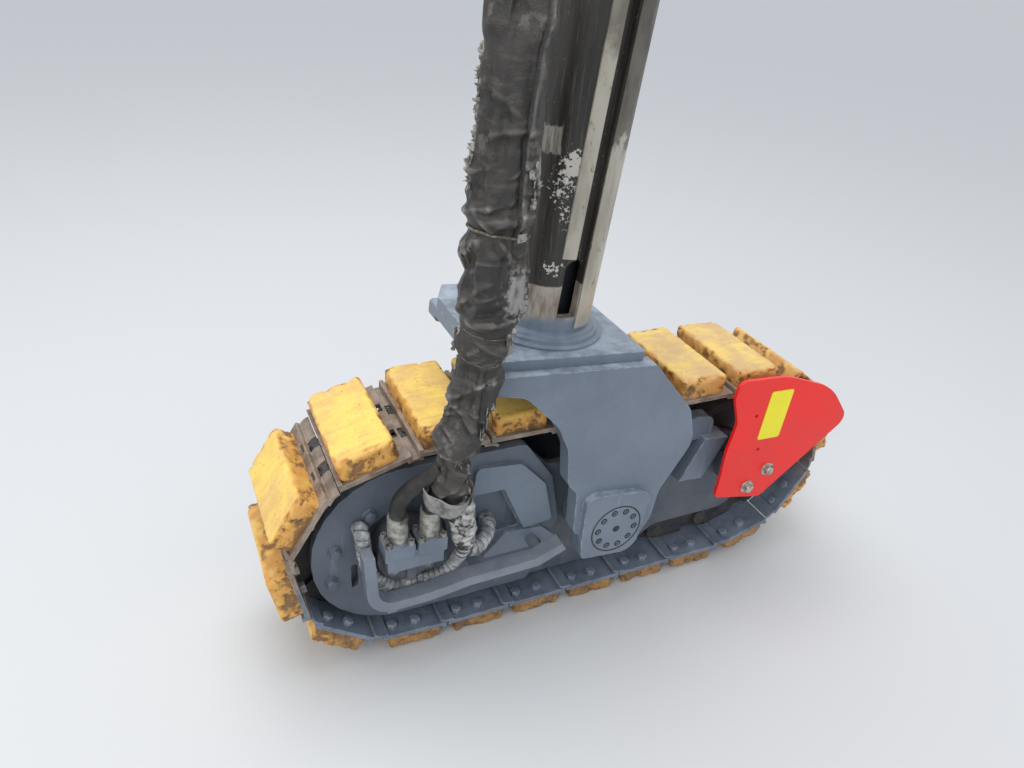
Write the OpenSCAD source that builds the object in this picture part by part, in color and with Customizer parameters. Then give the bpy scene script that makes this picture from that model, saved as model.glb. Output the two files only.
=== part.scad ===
// Crawler track unit with its lifting column, in millimetres.
// X runs along the track, Y into the machine, Z up.
// The origin is on the ground under the swing pin, in the middle plane of the shoes.

/* [Track loop] */
// Distance between two chain pins
pitch = 140; // [130:1:150]
// Teeth of the drive wheel, two to each chain pitch
teeth = 17; // [16:1:18]
// Chain pitches on one straight run between the wheels
run_pitches = 5; // [5:1:6]
// Distance of the last straight pin before the right wheel's lowest point
pin_lead = 14; // [10:1:20]
// Distance of the swing pin ahead of the loop's middle
pin_ahead = 30; // [20:1:40]
// Width of a shoe
shoe_w = 250; // [240:1:260]
// Length left open between two shoes
shoe_gap = 4; // [2:0.5:6]
// Thickness of a shoe plate
plate_t = 9; // [8:0.5:10]
// Height of the pad on a shoe
pad_h = 42; // [38:1:44]
// Length of a pad along the track
pad_l = 110; // [100:1:114]
// Length of bare plate in front of a pad, with the raised lip
lip_l = 8; // [6:0.5:10]
// Height of the lip
lip_h = 6; // [4:0.5:10]
// Inset of a pad from the shoe's ends
pad_inset = 7; // [4:0.5:10]
// Thickness of the curved tail that closes the gap behind a shoe in a bend
tail_t = 5; // [4:0.5:5.5]
// Clearance of a tail under the next shoe
tail_clear = 0.5; // [0.4:0.1:1]

/* [Chain] */
// Distance from the pin line to the bottom of a shoe plate
link_out = 27; // [26:1:29]
// Distance from the pin line to a link's running edge
link_in = 24; // [20:1:26]
// Thickness of one link bar
bar_t = 13; // [10:0.5:14]
// Half the clear width between the inner link bars
link_y = 26; // [24:1:28]
// Clearance between the bars of two links
bar_gap = 0.3; // [0.2:0.1:1]
// Radius of a bushing
bushing_r = 20; // [16:0.5:22]
// Radius of a chain pin
chain_pin_r = 11; // [9:0.5:13]

/* [Wheels] */
// Clearance of a wheel or roller against the chain
chain_clear = 0.3; // [0.2:0.1:1]
// Clearance of a bushing in its seat between two teeth
seat_clear = 0.9; // [0.7:0.1:2]
// Width of the drive wheel's teeth
tooth_w = 44; // [36:1:48]
// Height of the teeth over the pin circle
tooth_tip = 7; // [5:0.5:7]
// Radius of the drive housing
housing_r = 104; // [95:1:115]
// Radius of a bottom roller
roller_r = 42; // [38:1:44]
// Radius of the carrier roller under the upper run
carrier_r = 30; // [25:1:34]
// Radius of a roller's axle
axle_r = 14; // [10:0.5:16]
// Radius of the idler's axle
idler_axle_r = 25; // [20:1:30]

/* [Track frame] */
// Inner face of a frame plate, from the middle plane
frame_y = 60; // [57:1:64]
// Thickness of a frame plate
frame_t = 15; // [12:1:20]
// Thickness of the drive cover
cover_t = 20; // [16:1:24]
// Height of the hood over the window
hood_t = 10; // [8:1:14]
// Height of the shelf plate below the window
shelf_t = 6; // [5:1:10]
// Radius of the hole round the motor
motor_hole_r = 88; // [84:1:94]
// Radius of the motor
motor_r = 62; // [58:1:70]

/* [Swing pin] */
// Height of the swing pin
pin_z = 252; // [245:1:262]
// Radius of the swing pin
pin_r = 35; // [28:1:40]
// Running clearance of the pin in the frame
pin_clear = 0.05; // [0.02:0.01:0.1]
// Outer radius of the pivot tube
pivot_r = 58; // [52:1:62]
// Lean of the column at rest, towards +X
lean = 4.5; // [0:0.5:5]

/* [Yoke] */
// Inner face of a yoke arm, from the middle plane
arm_y = 130; // [129:1:136]
// Thickness of a yoke arm
arm_t = 35; // [25:1:40]
// Height that the pin boss stands proud of the arm
boss_t = 15; // [10:1:20]
// Clearance between the pivot tube's end and the yoke
side_clear = 0.5; // [0.3:0.1:1]
// Width of the yoke's top along the track
yoke_w = 316; // [300:1:330]
// Distance of the column's axis behind the swing pin
column_back = 172; // [165:1:180]
// Height of the yoke's top above the pin
yoke_top = 380; // [375:1:400]
// Depth of the bridge between the arms
bridge_h = 22; // [18:1:24]
// Thickness of the column's flange
flange_t = 20; // [16:1:26]
// Outer edge of the flange, from the middle plane
flange_out = 145; // [140:1:150]
// Inner edge of the flange, from the middle plane
flange_in = 185; // [165:1:195]
// Radius of the pin's end cover
pin_cover_r = 57.5; // [50:0.5:60]
// Thickness of the pin's end cover
pin_cover_t = 12; // [8:1:14]

/* [Column] */
// Outer radius of the column tube
tube_r = 95; // [90:1:105]
// Wall of the column tube
tube_wall = 18; // [14:1:22]
// Length of the column tube
tube_l = 880; // [700:10:1000]
// Width of the guide groove in the tube
groove_w = 22; // [18:1:28]
// Depth of the guide groove
groove_d = 12; // [8:0.5:13]
// Direction of the groove, turned from -Y towards +X
groove_turn = 5; // [0:1:20]
// Height of the groove's foot above the flange
slot_z = 52; // [40:1:60]
// Width of the opening at the groove's foot
slot_w = 38; // [30:1:40]
// Height of the opening at the groove's foot
slot_h = 110; // [90:5:140]
// Width of the narrow guide strip beside the groove
strip_w = 24; // [18:1:28]
// Width of the broad guide strip beside the groove
broad_strip_w = 46; // [36:1:50]

/* [Lifting cylinder] */
// Outer radius of the cylinder's barrel
barrel_r = 55; // [50:1:60]
// Wall of the barrel
barrel_wall = 10; // [8:0.5:12]
// Distance of the barrel's end below the tube's end
barrel_drop = 80; // [60:5:200]
// Radius of the rod
rod_r = 30; // [25:1:35]
// Sliding clearance of the rod and its piston
rod_clear = 0.3; // [0.2:0.05:0.5]
// Length of the gland that closes the barrel
gland_l = 36; // [28:1:40]
// Distance of the rod's eye above the tube's end, with the rod drawn in
eye_up = 70; // [60:5:120]
// Radius of the bore in the rod's eye
eye_r = 25; // [20:1:30]
// Width of the rod's eye
eye_w = 60; // [50:1:70]

/* [Guards] */
// Outer face of the guard bar in front of the motor, from the middle plane
guard_bar_y = 172; // [170:1:176]
// Width of the guard bar
guard_bar_w = 32; // [28:1:34]
// Outer face of the track guard, from the middle plane
guard_y = 168; // [160:1:175]
// Thickness of the track guard
guard_t = 8; // [6:0.5:10]

/* [Hidden] */
step_turn = 720 / teeth;
wheel_r = pitch / (2 * sin(step_turn / 2));
plate_off = link_out + plate_t;
axle_z = wheel_r + plate_off + pad_h;

// The first chain pin on a wheel, and how far past the wheel the run starts again
lead_d = norm([wheel_r, pin_lead]);
first_turn = acos((wheel_r^2 + lead_d^2 - pitch^2) / (2 * wheel_r * lead_d)) - atan(pin_lead / wheel_r);
wheel_pins = floor((180 - first_turn) / step_turn) + 1;
last_turn = first_turn + (wheel_pins - 1) * step_turn;
exit_drop = wheel_r * (1 + cos(last_turn));
exit_run = sqrt(pitch^2 - exit_drop^2) - wheel_r * sin(last_turn);
wheel_gap = run_pitches * pitch + pin_lead + exit_run;

// Half the loop's pins [x, z] from the loop's middle; the other half is turned by 180 degrees
half_pins = concat(
    [for (i = [0:run_pitches]) [-wheel_gap / 2 + exit_run + i * pitch, -wheel_r]],
    [for (k = [0:wheel_pins - 1]) let (a = first_turn + k * step_turn)
        [wheel_gap / 2 + wheel_r * sin(a), -wheel_r * cos(a)]]);
loop_pins = concat(half_pins, -half_pins);
link_count = len(loop_pins);

drive_x = -pin_ahead - wheel_gap / 2;
idler_x = -pin_ahead + wheel_gap / 2;
run_z = axle_z - wheel_r;

// A seat between two teeth opens outwards at 30 degrees
seat_half = bushing_r + seat_clear;
flank_h = tooth_tip + 5;
flank_run = flank_h * tan(30);

chain_half_w = link_y + 2 * bar_t + bar_gap + 2;
tail_r = link_out - tail_clear;
rail_r = wheel_r * cos(step_turn / 2) - link_in;
roller_x = [-218, -134, -51, 51, 144];
roller_z = run_z + link_in + chain_clear + roller_r;
carrier_x = -20;
carrier_z = axle_z + wheel_r - link_in - chain_clear - carrier_r;
frame_out = frame_y + frame_t;
cover_out = frame_out + cover_t;
boss_out = arm_y + arm_t + boss_t;
pivot_half = arm_y - 6;
tube_foot = yoke_top + flange_t;
tube_top = tube_foot + tube_l;
barrel_top = tube_top - barrel_drop;
piston_z = tube_foot + 30;
eye_z = tube_top + eye_up;

port_x = [-31, 31];
port_y = -150;
port_foot = 276;
port_top = 318;
port_neck_r = 21.5;
ferrule_r = 19;
ferrule_z = 392;
motor_end = 128;
axle_block_t = 14;

// Radii of the black hoses and of the wrapped ones
hose_r = 15;
wrapped_r = 15;

// Routes of the hoses [x, y, z], each from its lower end to its upper end
hose_routes = [
    [[drive_x - 31, port_y, 392.3], [drive_x - 31, port_y, 405], [-460, -151, 424], [-449, -155, 444]],
    [[drive_x + 31, port_y, 392.3], [drive_x + 31, port_y, 400], [-400, -152, 409]]];
wrapped_left = [
    [-520, -95.4, 338], [-520, -108, 338], [-519, -116, 324], [-516, -119, 290], [-506, -119, 244],
    [-488, -119, 212], [-456, -120, 191], [-414, -120, 188], [-374, -121, 190], [-345, -123, 204],
    [-334, -124, 226], [-331, -140, 254], [-332, -154, 286], [-338, -161, 330], [-346, -166, 376],
    [-351, -171, 408]];
wrapped_right = [
    [-314.2, -144, 262], [-304, -144, 260], [-290, -138, 262], [-272, -124, 268], [-259, -106, 275],
    [-256, -94, 276], [-256, -79.4, 276]];

// Route of the hose sleeve [x, y, z, radius], from the motor to the column's head
sleeve_route = [
    [-382, -168, 414, 45], [-381, -175, 440, 45], [-380, -183, 470, 44], [-379, -188, 515, 47],
    [-373, -191, 570, 50], [-356, -191, 640, 55], [-342, -190, 740, 58], [-334, -187, 860, 55],
    [-324, -182, 970, 54], [-318, -176, 1080, 55], [-311, -170, 1180, 55], [-305, -165, 1260, 54],
    [-299, -160, 1340, 52], [-294, -155, 1420, 48]];

steel_blue = [0.42, 0.47, 0.53];
frame_grey = [0.27, 0.31, 0.36];
worn_steel = [0.50, 0.44, 0.38];
pad_yellow = [0.88, 0.70, 0.25];
guard_red = [0.90, 0.20, 0.17];
bare_metal = [0.72, 0.72, 0.70];
grease_black = [0.16, 0.15, 0.14];

function unit(v) = v / norm(v);

// One corner [x, z, radius] of an outline, as the points of its arc
function corner(a, b, c, n) = b[2] == 0 ? [[b[0], b[1]]] :
    let (p = [b[0], b[1]], u = unit([a[0], a[1]] - p), v = unit([c[0], c[1]] - p),
        half = acos(u * v) / 2, m = p + unit(u + v) * b[2] / sin(half),
        s = p + u * b[2] / tan(half) - m, e = p + v * b[2] / tan(half) - m,
        a0 = atan2(s[1], s[0]), turn = (atan2(e[1], e[0]) - a0 + 540) % 360 - 180)
    [for (k = [0:n]) m + b[2] * [cos(a0 + turn * k / n), sin(a0 + turn * k / n)]];

// An outline of corners [x, z, radius]
function rounded(pts, n = 8) = let (c = len(pts))
    [for (i = [0:c - 1]) each corner(pts[(i + c - 1) % c], pts[i], pts[(i + 1) % c], n)];

// A plate in the X-Z plane from y0 to y0 + t
module upright(y0, t) {
    translate([0, y0 + t, 0]) rotate([90, 0, 0]) linear_extrude(t) children();
}

// A round bar along Y
module bar_y(r, y0, l, fn = 48) {
    translate([0, y0 + l, 0]) rotate([90, 0, 0]) cylinder(r = r, h = l, $fn = fn);
}

// Directions along a route, and a side vector carried from ring to ring without twist
function heading(r) = [for (i = [0:len(r) - 1])
    unit(point(r[min(i + 1, len(r) - 1)]) - point(r[max(i - 1, 0)]))];
function point(p) = [p[0], p[1], p[2]];
function sides(h, i) = i == 0 ? [unit(cross(h[0], [0.2, 0.97, 0.1]))] :
    let (s = sides(h, i - 1)) concat(s, [unit(s[i - 1] - h[i] * (s[i - 1] * h[i]))]);

// A tube along a route; a fourth value at a point is the radius there
module tube(route, radius = 10, n = 10) {
    h = heading(route);
    c = len(route);
    s = sides(h, c - 1);
    rings = [for (i = [0:c - 1]) for (k = [0:n - 1])
        let (r = len(route[i]) > 3 ? route[i][3] : radius, a = 360 * k / n)
        point(route[i]) + r * (s[i] * cos(a) + cross(h[i], s[i]) * sin(a))];
    polyhedron(rings, concat(
        [[for (k = [0:n - 1]) k]],
        [for (i = [0:c - 2]) for (k = [0:n - 1]) let (j = (k + 1) % n)
            each [[i * n + k, (i + 1) * n + k, (i + 1) * n + j], [i * n + k, (i + 1) * n + j, i * n + j]]],
        [[for (k = [n - 1:-1:0]) (c - 1) * n + k]]));
}

module at_pin_axis() {
    translate([0, 0, pin_z]) children();
}

// The frame of the yoke and column: origin on the swing pin, leaning with the column
module at_yoke() {
    translate([0, 0, pin_z]) rotate([0, lean, 0]) children();
}

module at_column() {
    at_yoke() translate([-column_back, 0, 0]) children();
}

module at_drive() {
    translate([drive_x, 0, axle_z]) children();
}

module at_idler() {
    translate([idler_x, 0, axle_z]) children();
}

// Each link's own frame: origin between its pins, X in the track's running direction, Z outwards
module each_link() {
    for (i = [0:link_count - 1]) {
        a = loop_pins[i];
        b = loop_pins[(i + 1) % link_count];
        d = b - a;
        m = (a + b) / 2;
        translate([m[0] - pin_ahead, 0, m[1] + axle_z])
            rotate([0, -atan2(d[1], d[0]), 0]) rotate([180, 0, 0]) children();
    }
}

// The tail of a shoe: an arc round its rear pin, from under the plate to the next shoe's plate
module tail(y0, w) {
    upright(y0, w) polygon(concat(
        [[-pitch / 2 + 12, link_out + 1], [-pitch / 2 + 3, link_out + 1]],
        [for (a = [0:step_turn / 6:step_turn + 4]) [-pitch / 2 - tail_r * sin(a), tail_r * cos(a)]],
        [for (a = [step_turn:-step_turn / 6:0])
            [-pitch / 2 - (tail_r - tail_t) * sin(a), (tail_r - tail_t) * cos(a)]],
        [[-pitch / 2 + 12, tail_r - tail_t]]));
}

module shoes() {
    l = pitch - shoe_gap;
    color(worn_steel) each_link() difference() {
        union() {
            translate([-l / 2, -shoe_w / 2, link_out]) cube([l, shoe_w, plate_t]);
            translate([l / 2 - lip_l, -shoe_w / 2, link_out + plate_t - 1])
                cube([lip_l, shoe_w, lip_h + 1]);
            tail(chain_half_w + 1, shoe_w / 2 - chain_half_w - 1);
            tail(-shoe_w / 2, shoe_w / 2 - chain_half_w - 1);
            tail(2 - link_y, 2 * link_y - 4);
        }
        for (y = [-45, 45])
            translate([-l / 2 + 5, y - 13, link_out - 1]) cube([9, 26, plate_t + 2]);
    }
}

module pads() {
    l = pitch - shoe_gap;
    x1 = l / 2 - lip_l - 0.2;
    w = shoe_w - 2 * pad_inset;
    color(pad_yellow) each_link() intersection() {
        upright(-w / 2, w) polygon(rounded([
            [x1 - pad_l, plate_off, 0], [x1, plate_off, 0],
            [x1 - 3, plate_off + pad_h, 7], [x1 - pad_l + 3, plate_off + pad_h, 7]], 2));
        translate([x1 - pad_l - 1, 0, 0]) rotate([90, 0, 90]) linear_extrude(pad_l + 2)
            polygon(rounded([
                [-w / 2, plate_off, 0], [w / 2, plate_off, 0],
                [w / 2 - 3, plate_off + pad_h, 9], [-w / 2 + 3, plate_off + pad_h, 9]], 2));
    }
}

// Half a link bar: from one pin to the link's middle, side = 1 towards +X
module half_bar(side, y0) {
    upright(y0, bar_t) union() {
        translate([side * pitch / 2, 0]) circle(r = link_in, $fn = 12);
        polygon([[-side * 8, -link_in], [side * pitch / 2, -link_in],
            [side * (pitch + shoe_gap - 1) / 2, link_out], [-side * 8, link_out]]);
    }
}

// One link: inner ends with a bushing at its front pin, outer ends with pin heads at its rear pin
module link() {
    for (s = [-1, 1]) mirror([0, s > 0 ? 0 : 1, 0]) {
        half_bar(1, link_y);
        half_bar(-1, link_y + bar_t + bar_gap);
        translate([-10, link_y, -link_in]) cube([20, 2 * bar_t + bar_gap, link_in + link_out]);
        translate([-pitch / 2, 0, 0]) bar_y(chain_pin_r, link_y + 2 * bar_t + bar_gap - 1, 3, 8);
    }
    translate([pitch / 2, 0, 0]) bar_y(bushing_r, -link_y - 1, 2 * link_y + 2, 10);
}

module chain() {
    color(frame_grey) each_link() link();
}

module sprocket() {
    color(frame_grey) at_drive() difference() {
        bar_y(wheel_r + tooth_tip, -tooth_w / 2, tooth_w, 96);
        for (k = [0:teeth - 1])
            rotate([0, -first_turn - k * step_turn / 2, 0]) translate([0, 0, wheel_r]) {
                bar_y(bushing_r + seat_clear, -tooth_w, 2 * tooth_w);
                upright(-tooth_w, 2 * tooth_w) polygon([
                    [-seat_half, 0], [-seat_half - flank_run, flank_h],
                    [seat_half + flank_run, flank_h], [seat_half, 0]]);
            }
        bar_y(housing_r + chain_clear, -tooth_w, 2 * tooth_w, 96);
    }
}

module drive_housing() {
    color(steel_blue) at_drive() {
        bar_y(housing_r, -frame_y, 2 * frame_y, 96);
        bar_y(housing_r + 24, tooth_w / 2, 12, 96);
    }
}

module gear_cover() {
    color(steel_blue) at_drive() difference() {
        union() {
            bar_y(118, frame_out, 10, 96);
            bar_y(92, frame_out + 10, 22, 96);
            bar_y(40, frame_out + 32, 6, 48);
        }
        for (k = [0:11]) rotate([0, k * 30, 0]) translate([106, 0, 0]) bar_y(5, frame_out + 5, 10, 16);
    }
}

module idler() {
    color(frame_grey) at_idler() difference() {
        union() {
            bar_y(rail_r - chain_clear, -frame_y + 5, 2 * frame_y - 10, 96);
            bar_y(wheel_r - bushing_r - 4, -link_y + 2, 2 * link_y - 4, 96);
        }
        for (s = [-1, 1]) translate([0, s > 0 ? 22 : -82, 0]) difference() {
            bar_y(rail_r - 20, 0, 60, 96);
            bar_y(58, -1, 62, 64);
        }
        bar_y(idler_axle_r + chain_clear, -frame_y, 2 * frame_y);
    }
}

module idler_axle() {
    color(steel_blue) at_idler() union() {
        bar_y(idler_axle_r, -frame_out - 6, 2 * frame_out + 12);
        for (s = [-1, 1]) translate([-36, s > 0 ? frame_out : -frame_out - axle_block_t, -32])
            cube([72, axle_block_t, 64]);
    }
}

module roller(r) {
    bar_y(r, -chain_half_w + 1, 2 * chain_half_w - 2, 48);
    bar_y(axle_r + 8, -frame_y, 2 * frame_y, 32);
}

module rollers() {
    color(frame_grey) for (x = roller_x) translate([x, 0, roller_z]) roller(roller_r);
}

module carrier_roller() {
    color(frame_grey) translate([carrier_x, 0, carrier_z]) roller(carrier_r);
}

// Outline of a frame plate: corners [x, z, radius]
frame_outline = [
    [-602, 74, 150], [-602, 445, 150], [-190, 445, 20], [-120, 372, 30], [-70, 372, 10], [-58, 425, 15],
    [18, 425, 15], [30, 372, 10], [300, 372, 40],
    [idler_x + 45, 330, 60], [idler_x + 75, 200, 50], [idler_x + 20, 126, 60], [190, 126, 40],
    [110, 74, 40]];

module frame() {
    color(frame_grey) difference() {
        for (s = [-1, 1])
            upright(s > 0 ? frame_y : -frame_out, frame_t) polygon(rounded(frame_outline));
        at_pin_axis() bar_y(pivot_r, -frame_out - 1, 2 * frame_out + 2, 96);
        at_idler() bar_y(idler_axle_r + chain_clear, -frame_out - 1, 2 * frame_out + 2);
        at_drive() bar_y(motor_r + 0.3, -frame_out - 1, frame_t + 2, 96);
    }
}

cover_outline = [
    [-610, 84, 178], [-610, 450, 178], [-186, 450, 20], [-118, 356, 30], [-92, 240, 20], [-150, 84, 20]];
window_outline = [[-296, 244, 12], [-290, 350, 8], [-235, 352, 6], [-185, 248, 6]];
// Slot beside the motor's hole
slot_outline = [[-536, 186, 7], [-522, 186, 7], [-522, 246, 7], [-536, 246, 7]];
// Plates that stand proud of the drive cover, above and below its window
hood_outline = [
    [-298, 358, 6], [-292, 422, 14], [-196, 412, 20], [-138, 350, 14], [-112, 250, 8], [-177, 243, 6], [-230, 358, 6]];
shelf_outline = [[-215, 238, 5], [-132, 231, 6], [-98, 198, 5], [-110, 182, 5], [-268, 182, 5]];

module drive_cover() {
    color(steel_blue) difference() {
        union() {
            upright(-cover_out, cover_t) polygon(rounded(cover_outline));
            upright(-cover_out - hood_t, hood_t + 1) polygon(rounded(hood_outline));
            upright(-cover_out - shelf_t, shelf_t + 1) polygon(rounded(shelf_outline));
        }
        upright(-cover_out - 1, cover_t + 2) polygon(rounded(slot_outline));
        at_drive() bar_y(motor_hole_r, -cover_out - 1, cover_t + 2, 96);
        upright(-cover_out - 1, cover_t - 3) polygon(rounded(window_outline));
    }
}

module pivot_tube() {
    color(steel_blue) at_pin_axis() difference() {
        union() {
            bar_y(pivot_r - 0.02, -pivot_half + side_clear, 2 * (pivot_half - side_clear), 96);
            for (s = [-1, 1])
                bar_y(pivot_r + 16, s > 0 ? frame_out : -frame_out - 12, 12, 96);
        }
        bar_y(pin_r + pin_clear, -arm_y, 2 * arm_y, 96);
    }
}

module step_block() {
    color(steel_blue) {
        upright(-123, 123 - frame_out)
            polygon([[191, 285], [254, 281], [300, 383], [237, 389]]);
        upright(-106, 106 - frame_out) polygon(rounded([[196, 380, 0], [186, 440, 24], [262, 436, 24], [268, 380, 0]]));
    }
}

module motor() {
    color(frame_grey) at_drive() difference() {
        union() {
            bar_y(motor_r, -motor_end, motor_end - frame_y, 96);
            bar_y(motor_r - 15, -motor_end - 10, 12, 96);
            for (a = [-60, 0, 60]) rotate([0, 180 + a, 0])
                translate([-9, -motor_end - 18, 14]) cube([18, 20, motor_r - 26]);
        }
        translate([-80, -motor_end - 30, port_foot - axle_z - 0.3]) cube([160, 30.3, 140]);
    }
}

module port_block() {
    color(steel_blue) translate([drive_x, 0, 0]) {
        translate([-54, port_y - 20, port_foot]) cube([108, -motor_end - port_y + 20, port_top - port_foot]);
        for (x = port_x) {
            translate([x - 28, port_y - 22, port_top - 14]) cube([56, -motor_end - port_y + 22, 30]);
            translate([x, port_y, port_top]) cylinder(r = port_neck_r, h = 20, $fn = 32);
        }
    }
}

module ferrules() {
    color(bare_metal) for (x = port_x)
        translate([drive_x + x, port_y, port_top + 20])
            cylinder(r = ferrule_r, h = ferrule_z - port_top - 20, $fn = 40);
}

// Outline of the bent guard bar in front of the motor: corners [x, z, radius]
guard_bar = [
    [-532, 324, 0], [-522, 178, 52], [-400, 180, 60], [-320, 192, 60], [-168, 195, 24], [-110, 222, 0],
    [-120, 240, 0], [-176, 216, 20], [-320, 213, 60], [-400, 201, 60], [-502, 199, 34], [-511, 324, 0]];

// Feet that hold the guard bar on the drive cover [x, z, height of the plate under the foot]
guard_feet = [[-484, 163.5, 0], [-298, 186, 0], [-167, 200, shelf_t]];
foot_l = 18;
foot_h = 16;

module pipe_guard() {
    color(steel_blue) union() {
        upright(-guard_bar_y, guard_bar_w) polygon(rounded(guard_bar));
        for (p = guard_feet) translate([p[0], 10 - guard_bar_y, p[1]])
            cube([foot_l, guard_bar_y - 10 - cover_out - p[2], foot_h]);
    }
}

module guard_bracket() {
    color(frame_grey) translate([330, -guard_y + guard_t, 250])
        cube([75, guard_y - guard_t - frame_out - axle_block_t, 55]);
}

guard_outline = [
    [262, 256, 14], [396, 226, 22], [600, 404, 28], [520, 498, 160], [380, 548, 160], [252, 556, 22],
    [247, 515, 24], [272, 450, 60], [262, 380, 80], [264, 300, 60]];

module track_guard() {
    color(guard_red) difference() {
        upright(-guard_y, guard_t) polygon(rounded(guard_outline));
        for (p = [[319, 461], [351, 368]])
            translate([p[0], 0, p[1]]) bar_y(4, -guard_y - 1, guard_t + 2, 24);
    }
}

// Outline of a yoke arm from the swing pin: corners [x, z, radius]
arm_outline = [
    [-70, -70, 12], [66, -72, 45], [96, 0, 40], [98, 72, 40], [150, 190, 60], [118, 270, 60],
    [-column_back + yoke_w / 2 + 18, yoke_top, 8],
    [-column_back - yoke_w / 2, yoke_top, 8], [-column_back - yoke_w / 2, 346, 10],
    [-262, 334, 40], [-184, 264, 60], [-150, 206, 60], [-134, 124, 40], [-108, 98, 16], [-94, -4, 12], [-70, -16, 10]];
boss_outline = [[-70, -68, 14], [62, -70, 40], [66, 30, 40], [66, 74, 14], [50, 88, 14], [-70, 94, 20], [-88, 78, 12], [-80, -20, 30]];

module yoke_arm(s) {
    color(steel_blue) at_yoke() difference() {
        union() {
            upright(s > 0 ? arm_y : -arm_y - arm_t, arm_t) polygon(rounded(arm_outline));
            upright(s > 0 ? arm_y + arm_t - 1 : -boss_out, boss_t + 1) polygon(rounded(boss_outline));
            bar_y(pivot_r, s > 0 ? pivot_half : -arm_y, arm_y - pivot_half, 96);
        }
        bar_y(pin_r + 0.02, -boss_out, 2 * boss_out, 96);
        bar_y(pin_cover_r + 0.3, s > 0 ? boss_out - pin_cover_t : -boss_out - 1, pin_cover_t + 1, 96);
    }
}

module yoke_bridge() {
    color(steel_blue) at_yoke()
        translate([-column_back - yoke_w / 2, -arm_y, yoke_top - bridge_h])
            cube([yoke_w, 2 * arm_y, bridge_h]);
}

module flange() {
    color(steel_blue) at_column()
        translate([0, 0, yoke_top]) linear_extrude(flange_t)
            polygon(rounded([
                [-yoke_w / 2, -flange_out, 6], [yoke_w / 2, -flange_out, 6],
                [yoke_w / 2, flange_in, 6], [-yoke_w / 2 + 30, flange_in, 6],
                [-yoke_w / 2, flange_in - 60, 6]]));
}

module swing_pin() {
    color(bare_metal) at_yoke()
        bar_y(pin_r, -boss_out + pin_cover_t, 2 * (boss_out - pin_cover_t), 96);
}

module pin_covers() {
    color(steel_blue) at_yoke() for (s = [-1, 1]) difference() {
        bar_y(pin_cover_r, s > 0 ? boss_out - pin_cover_t : -boss_out, pin_cover_t, 96);
        for (k = [0:9]) rotate([0, k * 36, 0]) translate([44, 0, 0])
            bar_y(5, s > 0 ? boss_out - 8 : -boss_out - 1, 9, 16);
        bar_y(7, s > 0 ? boss_out - 8 : -boss_out - 1, 9, 24);
    }
}

module column_tube() {
    color(grease_black) at_column() difference() {
        union() {
            translate([0, 0, tube_foot]) cylinder(r = tube_r, h = tube_l, $fn = 96);
            translate([0, 0, tube_foot]) rotate_extrude($fn = 96) polygon([
                [tube_r - 2, 0], [tube_r + 28, 0], [tube_r + 28, 4], [tube_r + 24, 8], [tube_r + 19, 8],
                [tube_r + 18, 13], [tube_r + 12, 15], [tube_r + 10, 20], [tube_r + 5, 22], [tube_r - 2, 24]]);
        }
        translate([0, 0, tube_foot - 1]) cylinder(r = tube_r - tube_wall, h = tube_l + 2, $fn = 96);
        rotate([0, 0, groove_turn]) {
            translate([-groove_w / 2, -tube_r - 1, tube_foot + slot_z]) cube([groove_w, groove_d + 1, tube_l]);
            translate([groove_w / 2 - slot_w, -tube_r - 1, tube_foot + slot_z])
                cube([slot_w, tube_wall + 18, slot_h - slot_w / 2]);
            translate([groove_w / 2 - slot_w / 2, -tube_r - 1, tube_foot + slot_z + slot_h - slot_w / 2])
                rotate([-90, 0, 0]) cylinder(d = slot_w, h = tube_wall + 18, $fn = 48);
        }
    }
}

// Guide strips beside the groove [x, width, foot above the flange]
strips = [[-groove_w / 2 - 2 - strip_w, strip_w, slot_z + slot_h + 2], [groove_w / 2 + 2, broad_strip_w, 30]];

module guide_strips() {
    color(bare_metal) at_column() rotate([0, 0, groove_turn])
        for (strip = strips)
            intersection() {
                translate([strip[0], -tube_r - 6, tube_foot + strip[2]]) cube([strip[1], tube_r, tube_l - strip[2] - 2]);
                difference() {
                    cylinder(r = tube_r + 3, h = tube_top + 1, $fn = 96);
                    translate([0, 0, -1]) cylinder(r = tube_r + 0.1, h = tube_top + 3, $fn = 96);
                }
            }
}

module cylinder_barrel() {
    color(frame_grey) at_column() difference() {
        translate([0, 0, tube_foot]) cylinder(r = barrel_r, h = barrel_top - tube_foot, $fn = 72);
        translate([0, 0, tube_foot + 20])
            cylinder(r = barrel_r - barrel_wall, h = barrel_top - tube_foot, $fn = 72);
    }
}

module cylinder_gland() {
    color(steel_blue) at_column() difference() {
        translate([0, 0, barrel_top]) cylinder(r = barrel_r + 6, h = gland_l, $fn = 72);
        translate([0, 0, barrel_top - 1]) cylinder(r = rod_r + rod_clear, h = gland_l + 2, $fn = 72);
    }
}

module lift_rod() {
    color(bare_metal) at_column() difference() {
        union() {
            translate([0, 0, piston_z])
                cylinder(r = barrel_r - barrel_wall - rod_clear, h = 40, $fn = 72);
            translate([0, 0, piston_z]) cylinder(r = rod_r, h = eye_z - piston_z, $fn = 72);
            translate([0, 0, eye_z]) bar_y(eye_r + 22, -eye_w / 2, eye_w, 64);
        }
        translate([0, 0, eye_z]) bar_y(eye_r, -eye_w, 2 * eye_w, 64);
    }
}

module hoses() {
    color(grease_black) for (r = hose_routes) tube(r, hose_r);
}

module wrapped_hose_left() {
    color(bare_metal) tube(wrapped_left, wrapped_r);
}

module wrapped_hose_right() {
    color(bare_metal) tube(wrapped_right, wrapped_r);
}

module hose_sleeve() {
    color(grease_black) tube(sleeve_route, 50, 12);
}

// The bracket at the column's head, from the tube to the hoses' upper ends
bracket_z = tube_top - 90;
bracket_x = -213;
bracket_y = -145;
fitting_x = [-24, 24];

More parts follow.
